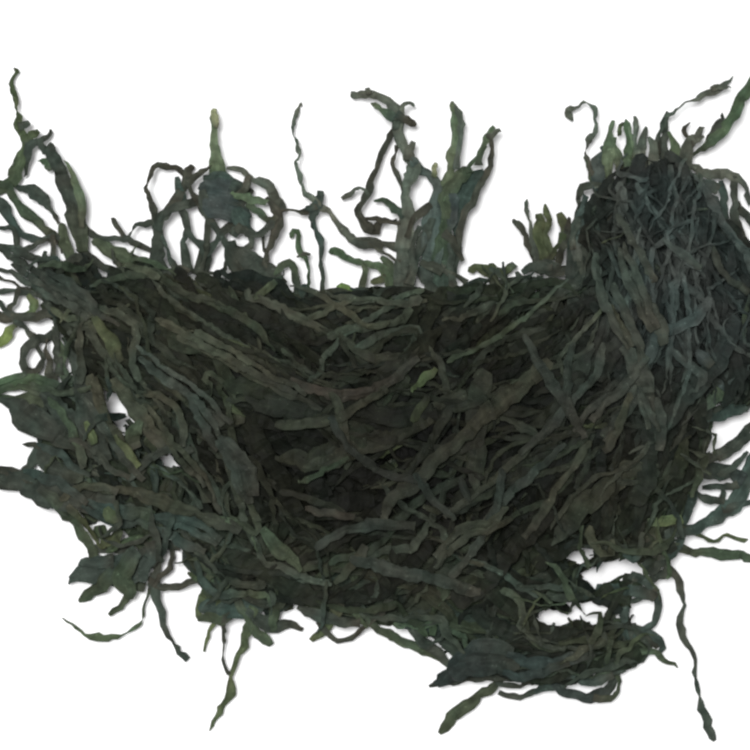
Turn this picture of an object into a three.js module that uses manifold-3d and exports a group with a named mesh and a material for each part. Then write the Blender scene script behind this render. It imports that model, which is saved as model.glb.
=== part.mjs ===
// A loose heap of dried kelp cut into strips, as it lies on a table.
// Millimetres, +Z up. The origin is on the flat underside, under the middle of the heap.
//
// The heap is one solid: a low mound with several humps, a layer of strips draped over it in the
// directions in which the kelp was thrown down, and the single strips that stray past its edge.
import * as THREE from "three";
import { mergeVertices } from "three/addons/utils/BufferGeometryUtils.js";
import Module from "manifold-3d";

// ---------------------------------------------------------------- driving dimensions
const STRIP_THICKNESS = 1.0;
const SEGMENT_LENGTH = 13; // along a strip, between two of its cross sections
const CORE_SPOKES = 50;
const CORE_RINGS = 5;
const CORE_CENTRE = { x: 58, y: -36 };
const CORE_RIM_HEIGHT = 1.2; // where the mound meets the table
const CORE_LONGEST_REACH = 240; // the search for the mound's edge starts here
const CORE_MARCH = 2; // and comes in by this step
const CORE_RIPPLE = 1.6; // height of the lumps that buried strips make
const CORE_RIPPLE_PITCH = 17;
const CORE_FULL_RIPPLE = 10; // the lumps are smaller where the mound is lower than this
const HUMP_BLEND = 3; // the higher, the more sharply one hump ends at the next
const FLOOR_GAP = 0.15; // a strip that lies beside the mound clears the table by this much

// The humps of the mound: centre, half widths, how far each is turned in degrees, and height.
const HUMPS = [
  { name: "basin", x: 6, y: -16, across: 90, along: 58, turn: 0, height: 39 },
  { name: "west arm", x: -74, y: 12, across: 60, along: 34, turn: -32, height: 31 },
  { name: "east horn", x: 110, y: 50, across: 36, along: 58, turn: 0, height: 46 },
  { name: "east base", x: 92, y: -10, across: 44, along: 46, turn: 0, height: 36 },
  { name: "far east", x: 142, y: 42, across: 30, along: 42, turn: 0, height: 26 },
  { name: "south", x: 8, y: -66, across: 78, along: 24, turn: 0, height: 16 },
  { name: "south east", x: 82, y: -64, across: 40, along: 28, turn: 20, height: 12 },
  { name: "south west", x: -62, y: -44, across: 34, along: 38, turn: 20, height: 15 },
  { name: "west", x: -114, y: -20, across: 28, along: 32, turn: 0, height: 8 },
  { name: "north west", x: -118, y: 46, across: 28, along: 15, turn: -30, height: 11 },
];

// The way the strips run, in degrees from +X, at a few places on the heap.
const GRAIN = [
  { x: -110, y: 50, heading: -30 },
  { x: -80, y: 30, heading: -38 },
  { x: -40, y: 10, heading: -35 },
  { x: -92, y: -10, heading: -55 },
  { x: -70, y: -40, heading: -60 },
  { x: -30, y: -30, heading: -45 },
  { x: 0, y: 32, heading: -4 },
  { x: 42, y: 30, heading: 12 },
  { x: 0, y: -10, heading: 25 },
  { x: 40, y: -12, heading: 42 },
  { x: 72, y: -22, heading: 48 },
  { x: 58, y: -48, heading: 45 },
  { x: 20, y: -54, heading: 14 },
  { x: -20, y: -62, heading: -12 },
  { x: 92, y: 22, heading: 74 },
  { x: 98, y: 64, heading: 92 },
  { x: 112, y: 30, heading: 106 },
  { x: 132, y: 20, heading: 100 },
  { x: 110, y: -2, heading: 58 },
  { x: 116, y: -34, heading: 62 },
  { x: 80, y: -72, heading: 10 },
  { x: 40, y: -92, heading: -4 },
  { x: -120, y: -30, heading: -40 },
  { x: 146, y: 44, heading: 118 },
];
const GRAIN_BLUR = 13; // an entry's pull is even this near to it
const GRAIN_FALLOFF = 1.5;

// The strips draped over the mound.
const DRAPED_ROW_PITCH = 30; // between the rows of strips, from their middles
const DRAPED_JITTER = 7;
const DRAPED_LENGTH = { least: 52, most: 88 };
const DRAPED_WIDTH = { least: 4.5, most: 8 };
const DRAPED_TAPER = [0.6, 1, 1, 0.7]; // parts of that width, from one end to the other
const DRAPED_STEP = 11; // between the points of a draped strip's route
const DRAPED_OBEDIENCE = 0.7; // how much of each turn of the grain a draped strip follows
const DRAPED_BURIED = 2.4; // how far each end of a draped strip lies under the mound's skin
const DRAPED_ARCH = 6.5; // how far its middle rises from there
const DRAPED_ROLL = 30; // degrees
const DRAPED_EDGE = 5; // least height of the mound under a draped strip's middle
const DRAPED_FIELD = { west: -140, east: 180, south: -80, north: 112 };
const DRAPED_SEED = 20;

// The single strips that stray past the edge, each from its loose end to where it joins the heap:
// its route seen from above, its width there, and how high it arches over the table.
const STRAYS = [
  { name: "north west whip", arch: 8, widths: [1.6, 3, 2.4, 4.5, 4, 4, 4],
    route: [[-144, 133], [-145, 124], [-142, 111], [-141, 98], [-144, 84], [-138, 66], [-124, 48]] },
  { name: "north west sprig", arch: 7, widths: [2, 2.5, 3.5, 3.5, 3.5, 3.5],
    route: [[-130, 107], [-138, 101], [-141, 92], [-134, 78], [-126, 58], [-118, 44]] },
  { name: "north west blade", arch: 9, widths: [3, 6.5, 6.5, 5, 4],
    route: [[-130, 101], [-124, 90], [-119, 74], [-120, 62], [-122, 46]] },
  { name: "west runner", arch: 6, widths: [4, 6, 6, 6, 5],
    route: [[-162, 66], [-150, 62], [-134, 56], [-118, 46], [-98, 34]] },
  { name: "west upper cross", arch: 7, widths: [3.5, 4, 4, 3.5],
    route: [[-158, 34], [-140, 33], [-124, 35], [-104, 34]] },
  { name: "west lime strip", arch: 4, widths: [4, 5.5, 4, 4],
    route: [[-157, 19], [-147, 27], [-138, 36], [-122, 44]] },
  { name: "west hook", arch: 7, widths: [4, 4, 4, 4, 4, 4],
    route: [[-126, 25], [-136, 25], [-141, 18], [-138, 6], [-128, -8], [-114, -16]] },
  { name: "nest west loop", arch: 15, widths: [3, 2.4, 2.2, 1.8, 3, 3, 3],
    route: [[-72, 80], [-78, 91], [-85, 93], [-91, 86], [-88, 70], [-86, 52], [-84, 34]] },
  { name: "nest stub", arch: 9, widths: [3, 3, 3.4, 3, 3],
    route: [[-73, 95], [-78, 80], [-78, 66], [-74, 52], [-70, 34]] },
  { name: "nest east loop", arch: 15, widths: [3, 3, 2.4, 2.6, 3, 3.4, 3, 3],
    route: [[-88, 68], [-80, 78], [-70, 91], [-56, 92], [-44, 85], [-39, 74], [-42, 58], [-48, 38]] },
  { name: "nest post", arch: 10, widths: [2.8, 3.4, 4.6, 5, 4, 4],
    route: [[-64, 117], [-65, 106], [-63, 94], [-61, 80], [-66, 62], [-68, 38]] },
  { name: "nest leaf", arch: 9, widths: [3.4, 6, 9, 9, 8, 5, 4],
    route: [[-43, 79], [-54, 85], [-66, 85], [-68, 76], [-60, 68], [-54, 56], [-52, 38]] },
  { name: "twisted whip", arch: 10, widths: [1.4, 2.2, 1.8, 2.4, 3, 3, 3, 3],
    route: [[-29, 119], [-33, 109], [-31, 96], [-29, 84], [-20, 76], [-10, 66], [2, 62], [14, 32]] },
  { name: "short post", arch: 8, widths: [3, 3.4, 2.6, 2.4, 2.4],
    route: [[-22, 85], [-23, 74], [-21, 60], [-21, 44], [-24, 26]] },
  { name: "hooked sprig", arch: 7, widths: [2, 3.4, 3, 3, 3],
    route: [[-35, 63], [-31, 67], [-29, 56], [-28, 44], [-30, 28]] },
  { name: "spray hook", arch: 13, widths: [3, 3.4, 4.4, 6, 5, 5, 5, 4],
    route: [[-10, 122], [2, 122], [9, 113], [11, 98], [12, 82], [10, 62], [10, 44], [12, 26]] },
  { name: "spray arm", arch: 9, widths: [2.2, 2.6, 3.4, 3.6, 3, 3, 3, 3],
    route: [[9, 109], [1, 95], [-5, 79], [-6, 72], [4, 70], [12, 60], [14, 44], [18, 26]] },
  { name: "spray fork", arch: 11, widths: [2.6, 4, 4.4, 4.4, 5, 4, 4],
    route: [[16, 111], [14, 101], [20, 92], [25, 82], [23, 66], [20, 46], [18, 26]] },
  { name: "spray blade", arch: 12, widths: [2, 6.4, 5.4, 5, 5, 4, 4],
    route: [[30, 120], [33, 108], [31, 94], [27, 80], [25, 62], [26, 42], [28, 26]] },
  { name: "spray east", arch: 10, widths: [2, 3, 5, 5, 4.6, 4],
    route: [[49, 108], [47, 95], [42, 82], [36, 67], [32, 50], [34, 30]] },
  { name: "spray twig", arch: 13, widths: [2.6, 3.4, 5, 5, 4, 4],
    route: [[47, 109], [40, 97], [31, 88], [26, 76], [24, 58], [24, 34]] },
  { name: "notch west tip", arch: 8, widths: [2.4, 3, 4, 4],
    route: [[55, 73], [61, 65], [64, 52], [64, 32]] },
  { name: "notch middle tip", arch: 10, widths: [4, 4.4, 5, 5],
    route: [[65, 74], [65, 62], [68, 48], [70, 28]] },
  { name: "notch east tip", arch: 10, widths: [4, 4.6, 4, 4, 4],
    route: [[75, 73], [76, 64], [74, 52], [76, 36], [80, 20]] },
  { name: "horn curl", arch: 9, widths: [3.2, 3, 1.8, 1.8, 1.8, 3, 4],
    route: [[76, 112], [76, 117], [84, 119], [89, 112], [87, 104], [93, 96], [97, 82]] },
  { name: "horn post one", arch: 12, widths: [3, 3.6, 4, 4],
    route: [[95, 111], [94, 98], [95, 84], [98, 68]] },
  { name: "horn post two", arch: 13, widths: [3.4, 5, 5, 4],
    route: [[103, 113], [102, 100], [103, 86], [104, 68]] },
  { name: "horn post three", arch: 11, widths: [3, 4, 4, 4],
    route: [[108, 108], [107, 96], [109, 80], [112, 64]] },
  { name: "horn whip", arch: 13, widths: [3.2, 3, 1.4, 3, 6, 5],
    route: [[142, 129], [130, 121], [119, 116], [116, 105], [118, 92], [120, 76]] },
  { name: "horn blade", arch: 12, widths: [3, 5, 5.4, 3, 4, 4],
    route: [[157, 139], [148, 123], [138, 107], [128, 98], [124, 84], [124, 68]] },
  { name: "east shoulder", arch: 11, widths: [3, 3.4, 4, 4, 4, 4],
    route: [[158, 70], [148, 83], [143, 92], [132, 91], [122, 84], [114, 72]] },
  { name: "east rung", arch: 8, widths: [3, 4, 5, 5],
    route: [[170, 84], [160, 70], [150, 58], [140, 44]] },
  { name: "east lime strip", arch: 7, widths: [3, 5, 5, 4],
    route: [[162, 20], [150, 13], [140, 4], [126, -2]] },
  { name: "east slat", arch: 7, widths: [3.4, 4, 4, 4, 4],
    route: [[164, -2], [150, -12], [139, -21], [124, -22], [110, -18]] },
  { name: "east folded blade", arch: 6, widths: [5, 9, 11, 7],
    route: [[160, -22], [146, -29], [132, -29], [118, -22]] },
  { name: "east hoop", arch: 6, widths: [5, 6, 6, 5, 4, 4],
    route: [[152, -27], [149, -38], [138, -48], [124, -54], [108, -58], [92, -56]] },
  { name: "south east rod", arch: 3, widths: [3, 4, 4, 4, 4],
    route: [[162, -64], [142, -62], [122, -59], [104, -54], [88, -46]] },
  { name: "south east whip", arch: 5, widths: [3, 4.4, 2, 3.4, 2.2, 4, 4],
    route: [[136, -137], [131, -123], [128, -106], [123, -94], [124, -82], [119, -69], [98, -40]] },
  { name: "south east hook", arch: 6, widths: [3.4, 3.4, 3.4, 3.4, 4, 4],
    route: [[106, -94], [113, -87], [113, -80], [102, -76], [88, -72], [72, -62]] },
  { name: "south east tip", arch: 5, widths: [2.4, 3, 6, 6, 4.4, 4],
    route: [[121, -107], [112, -102], [100, -98], [84, -90], [66, -76], [52, -62]] },
  { name: "south loop", arch: 5, widths: [2.4, 2.6, 4, 5, 5, 4],
    route: [[93, -121], [98, -116], [93, -107], [80, -100], [64, -90], [48, -74]] },
  { name: "south rail", arch: 4, widths: [3, 4.6, 5, 3, 3, 3, 4, 4],
    route: [[104, -104], [90, -119], [76, -118], [66, -116], [56, -119], [47, -112], [40, -98], [36, -78]] },
  { name: "south green blade", arch: 4, widths: [3, 5.6, 4.4, 4, 4, 4],
    route: [[25, -133], [33, -124], [47, -114], [60, -105], [70, -90], [62, -70]] },
  { name: "south folded blade", arch: 5, widths: [2.6, 7, 11, 9, 6, 5],
    route: [[23, -114], [30, -106], [46, -103], [62, -100], [76, -84], [80, -66]] },
  { name: "south west rail", arch: 3, widths: [3, 4.4, 3.6, 4, 4],
    route: [[28, -106], [12, -97], [2, -89], [-10, -78], [-22, -68]] },
  { name: "south stub", arch: 3, widths: [3.6, 3.6, 4, 4],
    route: [[-25, -97], [-18, -90], [-8, -80], [4, -70]] },
  { name: "south west leaf", arch: 4, widths: [3.6, 4, 5, 5],
    route: [[-42, -99], [-49, -90], [-52, -78], [-54, -62]] },
  { name: "south west whip", arch: 4, widths: [1.8, 2, 4, 3.4, 3.6, 4],
    route: [[-66, -133], [-60, -120], [-57, -112], [-53, -98], [-50, -86], [-48, -68]] },
  { name: "south west blade", arch: 5, widths: [4.4, 5, 5, 5],
    route: [[-68, -88], [-65, -76], [-62, -62], [-58, -48]] },
  { name: "west leg", arch: 6, widths: [3, 2.2, 3, 3, 3, 4],
    route: [[-75, -103], [-82, -92], [-87, -80], [-87, -66], [-82, -50], [-74, -36]] },
  { name: "west strut", arch: 6, widths: [2.2, 2.4, 2.4, 3],
    route: [[-92, -76], [-84, -74], [-72, -70], [-60, -62]] },
  { name: "west v strip", arch: 3, widths: [1.4, 3.4, 1.8, 1.8, 2.6, 3],
    route: [[-125, -88], [-112, -96], [-98, -92], [-91, -80], [-86, -64], [-80, -48]] },
  { name: "west ragged leaf", arch: 5, widths: [4, 9, 9, 6, 5],
    route: [[-121, -72], [-110, -69], [-97, -66], [-86, -56], [-76, -44]] },
  { name: "west ragged tip", arch: 5, widths: [3, 3.4, 5, 5, 4],
    route: [[-106, -85], [-98, -76], [-94, -62], [-90, -46], [-84, -30]] },
  { name: "west rim strip", arch: 5, widths: [4, 4.4, 5, 5, 4],
    route: [[-113, -68], [-119, -54], [-130, -42], [-132, -30], [-120, -16]] },
  { name: "west broad blade", arch: 5, widths: [7, 9, 13, 9, 6],
    route: [[-161, -33], [-146, -32], [-132, -30], [-116, -24], [-100, -16]] },
];
const STRAY_END_HEIGHT = 1.6; // a stray strip's loose end above the table
const STRAY_ROLL = 38; // degrees, each way
const STRAY_WAVES = 1.5; // half turns of that roll from end to end
const STRAY_PROUD = 2; // how far it stands above the mound on its way there
const STRAY_BURIED = 2; // how far a stray strip's inner end lies under the mound's skin
// ----------------------------------------------------------------------------------------

const wasm = await Module();
wasm.setup();

/** A repeatable stream of numbers from 0 to 1. */
function randomStream(seed) {
  let state = seed >>> 0;
  return () => {
    state = (state + 0x6d2b79f5) >>> 0;
    let mixed = Math.imul(state ^ (state >>> 15), 1 | state);
    mixed = (mixed + Math.imul(mixed ^ (mixed >>> 7), 61 | mixed)) ^ mixed;
    return ((mixed ^ (mixed >>> 14)) >>> 0) / 4294967296;
  };
}

/** How high one hump stands over a point: a dome, and 0 outside it. */
function humpHeight(hump, x, y) {
  const turn = THREE.MathUtils.degToRad(hump.turn);
  const dx = x - hump.x;
  const dy = y - hump.y;
  const across = (dx * Math.cos(turn) + dy * Math.sin(turn)) / hump.across;
  const along = (dy * Math.cos(turn) - dx * Math.sin(turn)) / hump.along;
  return hump.height * Math.sqrt(Math.max(0, 1 - across * across - along * along));
}

/** The mound's height: the humps run together, with the lumps of buried strips on them. */
function moundHeight(x, y) {
  const sum = HUMPS.reduce((total, hump) => total + humpHeight(hump, x, y) ** HUMP_BLEND, 0);
  const height = sum ** (1 / HUMP_BLEND);
  const pitch = CORE_RIPPLE_PITCH / Math.PI;
  const lumps = CORE_RIPPLE * Math.sin(x / pitch) * Math.cos((y + x / 3) / pitch);
  return Math.max(0, height + lumps * Math.min(1, height / CORE_FULL_RIPPLE));
}

/** How far the mound reaches from its centre in one direction. */
function moundReach(angle) {
  let reach = CORE_LONGEST_REACH;
  const heightThere = () =>
    moundHeight(CORE_CENTRE.x + reach * Math.cos(angle), CORE_CENTRE.y + reach * Math.sin(angle));
  while (heightThere() < CORE_RIM_HEIGHT * 2) reach -= CORE_MARCH;
  return reach;
}

/** The mound: a turned dome of one unit, drawn out to the reach and the height of the heap. */
function moundGeometry() {
  const profile = [new THREE.Vector2(0, 0), new THREE.Vector2(1, 0)];
  for (let ring = 0; ring <= CORE_RINGS; ring++)
    profile.push(new THREE.Vector2(ring === CORE_RINGS ? 0 : 1 - ring / CORE_RINGS, 1));
  const dome = new THREE.LatheGeometry(profile, CORE_SPOKES);
  dome.rotateX(Math.PI / 2);
  const position = dome.getAttribute("position");
  for (let i = 0; i < position.count; i++) {
    const radius = Math.hypot(position.getX(i), position.getY(i));
    const angle = Math.atan2(position.getY(i), position.getX(i));
    const reach = radius < 1e-6 ? 0 : moundReach(angle) * radius;
    const x = CORE_CENTRE.x + reach * Math.cos(angle);
    const y = CORE_CENTRE.y + reach * Math.sin(angle);
    const onRim = radius > 1 - 1e-6;
    const top = onRim ? CORE_RIM_HEIGHT : Math.max(CORE_RIM_HEIGHT, moundHeight(x, y));
    position.setXYZ(i, x, y, position.getZ(i) > 0.5 ? top : 0);
  }
  return dome;
}

/** A strip: a thin box bent along a curve, as wide as asked at each place and rolled about it. */
function stripGeometry(points, widths, rollAt) {
  const curve = new THREE.CatmullRomCurve3(points, false, "centripetal");
  const segments = Math.max(2, Math.round(curve.getLength() / SEGMENT_LENGTH));
  const box = new THREE.BoxGeometry(1, STRIP_THICKNESS, 1, 1, 1, segments);
  const position = box.getAttribute("position");
  const up = new THREE.Vector3(0, 0, 1);
  const lowest = FLOOR_GAP + STRIP_THICKNESS;
  for (let i = 0; i < position.count; i++) {
    const t = THREE.MathUtils.clamp(position.getZ(i) + 0.5, 0, 1);
    const place = curve.getPoint(t);
    const tangent = curve.getTangent(t);
    const side = new THREE.Vector3().crossVectors(up, tangent).normalize().applyAxisAngle(tangent, rollAt(t));
    const normal = new THREE.Vector3().crossVectors(tangent, side);
    const at = t * (widths.length - 1);
    const from = Math.min(widths.length - 2, Math.floor(at));
    const width = THREE.MathUtils.lerp(widths[from], widths[from + 1], at - from);
    const sag = Math.abs(side.z) * width / 2;
    place.z = Math.max(place.z, lowest + sag);
    place.addScaledVector(side, position.getX(i) * width).addScaledVector(normal, position.getY(i));
    position.setXYZ(i, place.x, place.y, place.z);
  }
  return box;
}

/** The way the strips run at a point, in radians: the grain entries near it count most. */
function grainAt(x, y) {
  let cosine = 0;
  let sine = 0;
  for (const entry of GRAIN) {
    const pull = 1 / ((x - entry.x) ** 2 + (y - entry.y) ** 2 + GRAIN_BLUR ** 2) ** GRAIN_FALLOFF;
    const doubled = 2 * THREE.MathUtils.degToRad(entry.heading); // the grain has no forward or back
    cosine += pull * Math.cos(doubled);
    sine += pull * Math.sin(doubled);
  }
  return Math.atan2(sine, cosine) / 2;
}

/** The route of a strip that lies along the grain with its middle at a point, seen from above. */
function drapedRoute(x, y, length, offset) {
  const steps = Math.round(length / DRAPED_STEP / 2);
  const halves = [-1, 1].map((way) => {
    const half = [];
    let heading = grainAt(x, y) + offset + (way < 0 ? Math.PI : 0);
    let [px, py] = [x, y];
    for (let i = 0; i < steps; i++) {
      px += DRAPED_STEP * Math.cos(heading);
      py += DRAPED_STEP * Math.sin(heading);
      if (moundHeight(px, py) < DRAPED_BURIED) break;
      const turned = grainAt(px, py) + offset - heading;
      heading += Math.atan(Math.tan(turned)) * DRAPED_OBEDIENCE;
      half.push([px, py]);
    }
    return half;
  });
  return [...halves[0].reverse(), [x, y], ...halves[1]];
}

/** One strip draped over the mound, with its middle at a point. */
function drapedStrip(x, y, random) {
  const between = (range) => range.least + (range.most - range.least) * random();
  const route = drapedRoute(x, y, between(DRAPED_LENGTH), random() - 0.5);
  const points = route.map(([px, py], i) => {
    const arch = DRAPED_ARCH * Math.sqrt(Math.sin(Math.PI * i / (route.length - 1)));
    return new THREE.Vector3(px, py, moundHeight(px, py) - DRAPED_BURIED + arch);
  });
  const width = between(DRAPED_WIDTH);
  const roll = THREE.MathUtils.degToRad(DRAPED_ROLL) * (random() * 2 - 1);
  return stripGeometry(points, DRAPED_TAPER.map((part) => part * width), (t) => roll * Math.cos(Math.PI * t));
}

/** The strips draped over the mound, in staggered rows with a little disorder. */
function drapedStrips() {
  const random = randomStream(DRAPED_SEED);
  const jitter = () => DRAPED_JITTER * (random() * 2 - 1);
  const strips = [];
  let stagger = 0;
  for (let y = DRAPED_FIELD.south; y < DRAPED_FIELD.north; y += DRAPED_ROW_PITCH) {
    for (let x = DRAPED_FIELD.west + stagger; x < DRAPED_FIELD.east; x += DRAPED_ROW_PITCH) {
      const [px, py] = [x + jitter(), y + jitter()];
      if (moundHeight(px, py) > DRAPED_EDGE) strips.push(drapedStrip(px, py, random));
    }
    stagger = DRAPED_ROW_PITCH / 2 - stagger;
  }
  return strips;
}

/** How high a stray strip's middle line runs at one point of its route; t is 0 at its loose end. */
function strayHeight(x, y, t, arch) {
  const carried = moundHeight(x, y);
  if (t === 1) return Math.max(STRIP_THICKNESS, carried - STRAY_BURIED);
  const free = STRAY_END_HEIGHT + arch * Math.sin(Math.PI * t);
  return Math.max(free, carried + STRAY_PROUD);
}

/** The strips that stray past the edge of the heap, rolled to one side and the other in turn. */
function strayStrips() {
  return STRAYS.map(({ route, widths, arch }, index) => {
    const last = route.length - 1;
    const points = route.map(([x, y], i) => new THREE.Vector3(x, y, strayHeight(x, y, i / last, arch)));
    const roll = THREE.MathUtils.degToRad(index % 2 ? STRAY_ROLL : -STRAY_ROLL);
    return stripGeometry(points, widths, (t) => roll * Math.sin(Math.PI * (STRAY_WAVES * t + index / 5)));
  });
}

/** A closed geometry as a solid that can be joined to others. */
function solidOf(geometry) {
  const bare = geometry.clone();
  bare.deleteAttribute("normal");
  bare.deleteAttribute("uv");
  const merged = mergeVertices(bare, 1e-4);
  return new wasm.Manifold(
    new wasm.Mesh({
      numProp: 3,
      vertProperties: new Float32Array(merged.getAttribute("position").array),
      triVerts: new Uint32Array(merged.index.array),
    }),
  );
}

/** The triangles of the largest skin in a mesh: a loose scrap and a sealed hollow are skins of their own. */
function largestSkin(triVerts, vertexCount) {
  const parent = Array.from({ length: vertexCount }, (_, vertex) => vertex);
  const rootOf = (vertex) => {
    while (parent[vertex] !== vertex) vertex = parent[vertex] = parent[parent[vertex]];
    return vertex;
  };
  for (let i = 0; i < triVerts.length; i += 3) {
    parent[rootOf(triVerts[i + 1])] = rootOf(triVerts[i]);
    parent[rootOf(triVerts[i + 2])] = rootOf(triVerts[i]);
  }
  const skins = new Map();
  for (let i = 0; i < triVerts.length; i += 3) {
    const root = rootOf(triVerts[i]);
    if (!skins.has(root)) skins.set(root, []);
    skins.get(root).push(triVerts[i], triVerts[i + 1], triVerts[i + 2]);
  }
  return [...skins.values()].reduce((largest, skin) => (skin.length > largest.length ? skin : largest));
}

/** A solid's skin as a geometry to show. */
function geometryOf(solid) {
  const mesh = solid.getMesh();
  const geometry = new THREE.BufferGeometry();
  geometry.setAttribute("position", new THREE.BufferAttribute(new Float32Array(mesh.vertProperties), 3));
  geometry.setIndex(largestSkin(mesh.triVerts, mesh.vertProperties.length / 3));
  return geometry;
}

/** The mound with every strip joined to it. */
function heapSolid() {
  let heap = solidOf(moundGeometry());
  for (const strip of [...drapedStrips(), ...strayStrips()]) heap = heap.add(solidOf(strip));
  return heap;
}

const driedKelp = new THREE.MeshStandardMaterial({ color: 0x3a3d34, roughness: 0.72, metalness: 0 });
const heap = new THREE.Mesh(geometryOf(heapSolid()), driedKelp);
heap.name = "kelp_heap";

const model = new THREE.Group();
model.add(heap);
export default model;
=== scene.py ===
"""A loose heap of dried kelp strips on a pale table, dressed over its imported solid.

The strips are laid one after another, as they would fall: each follows the way the kelp was
thrown down, rests on what is already there, and bridges the hollows that it is too stiff to
fill. Lengths are millimetres and angles degrees, unless a name says otherwise; x runs along
the heap and z up from the table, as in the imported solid.
"""

from __future__ import annotations

import logging
import math
from dataclasses import dataclass, field, replace
from enum import Enum

import bmesh
import bpy
import numpy as np
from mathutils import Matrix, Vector

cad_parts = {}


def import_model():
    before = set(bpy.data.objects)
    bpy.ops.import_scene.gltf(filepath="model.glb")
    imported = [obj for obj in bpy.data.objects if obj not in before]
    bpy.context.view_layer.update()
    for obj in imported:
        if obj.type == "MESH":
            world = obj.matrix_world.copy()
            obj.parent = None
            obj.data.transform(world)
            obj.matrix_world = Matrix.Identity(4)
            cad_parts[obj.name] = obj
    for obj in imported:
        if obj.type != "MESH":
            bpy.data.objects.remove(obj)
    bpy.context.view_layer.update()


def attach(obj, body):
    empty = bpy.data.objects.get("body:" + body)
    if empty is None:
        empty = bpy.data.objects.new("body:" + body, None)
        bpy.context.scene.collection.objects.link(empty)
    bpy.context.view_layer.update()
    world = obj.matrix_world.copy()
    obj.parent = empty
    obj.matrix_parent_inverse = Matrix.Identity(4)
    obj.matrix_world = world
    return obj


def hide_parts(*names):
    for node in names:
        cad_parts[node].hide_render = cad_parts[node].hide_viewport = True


log = logging.getLogger("kelp_heap")

MM = 0.001  # a millimetre, in the scene's metres
TINY = 1e-9  # added to a length before it divides
STEP = 1.8  # from one point of a strip's line to the next
HEAP_NODE = "kelp_heap"
COARSE_PIECES = ("kelp_pressed_strips", "kelp_buried_strips")

Colour = tuple[float, float, float]
Pair = tuple[float, float]
Array = np.ndarray
Socket = bpy.types.NodeSocket
Inputs = dict[str | int, object]


def linear(red: float, green: float, blue: float) -> Colour:
    """A display colour of 0 to 255 as linear light.

    Args:
        red: The display red.
        green: The display green.
        blue: The display blue.

    Returns:
        The three linear values, 0 to 1.
    """
    return tuple(
        v / 12.92 if v <= 0.04045 else ((v + 0.055) / 1.055) ** 2.4
        for v in (red / 255, green / 255, blue / 255)
    )


def unit(vectors: Array) -> Array:
    """Vectors, one in a row, drawn out or in to a length of 1."""
    return vectors / (np.linalg.norm(vectors, axis=1)[:, None] + TINY)


def eased(height: Array) -> Array:
    """Heights along a strip, each drawn halfway to the mean of its two neighbours."""
    ends = np.pad(height, 1, mode="edge")
    return 0.5 * height + 0.25 * (ends[:-2] + ends[2:])


def put(name: str, data: bpy.types.ID) -> bpy.types.Object:
    """Puts a mesh, a lamp or a camera into the scene as an object of that name."""
    thing = bpy.data.objects.new(name, data)
    bpy.context.scene.collection.objects.link(thing)
    return thing


class Tone(Enum):
    """The strips' colours, from the shaded middle of the heap to its thin tips, which are lighter and
    greener partly by their own colour and partly by painted light shining through the thin kelp.
    """

    INK = linear(33, 36, 29)
    UMBER = linear(47, 48, 42)
    RUST = linear(51, 49, 43)
    BARK = linear(49, 51, 42)
    SLATE = linear(45, 50, 45)
    TEAL = linear(44, 53, 49)
    MOSS = linear(50, 58, 46)
    LEAF = linear(56, 68, 52)
    SAGE = linear(56, 62, 45)
    OLIVE = linear(66, 74, 52)
    LIME = linear(74, 88, 52)
    PALE = linear(98, 102, 80)
    DEEP = linear(41, 44, 35)
    SEA = linear(44, 50, 49)
    HAZE = linear(53, 61, 58)
    NIGHT = linear(36, 43, 41)
    MIST = linear(64, 69, 62)
    FERN = linear(68, 78, 62)


@dataclass(frozen=True)
class Hump:
    """One dome of the mound: its middle, half widths, turn and height."""

    x: float
    y: float
    across: float
    along: float
    turn: float
    height: float

    def dome(self, x: Array, y: Array) -> Array:
        """How high the dome stands over each point.

        Args:
            x: The points' x.
            y: The points' y.

        Returns:
            The heights, 0 outside the dome.
        """
        turn = math.radians(self.turn)
        dx, dy = x - self.x, y - self.y
        across = (dx * math.cos(turn) + dy * math.sin(turn)) / self.across
        along = (dy * math.cos(turn) - dx * math.sin(turn)) / self.along
        return self.height * np.sqrt(np.clip(1 - across**2 - along**2, 0, None))


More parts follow.
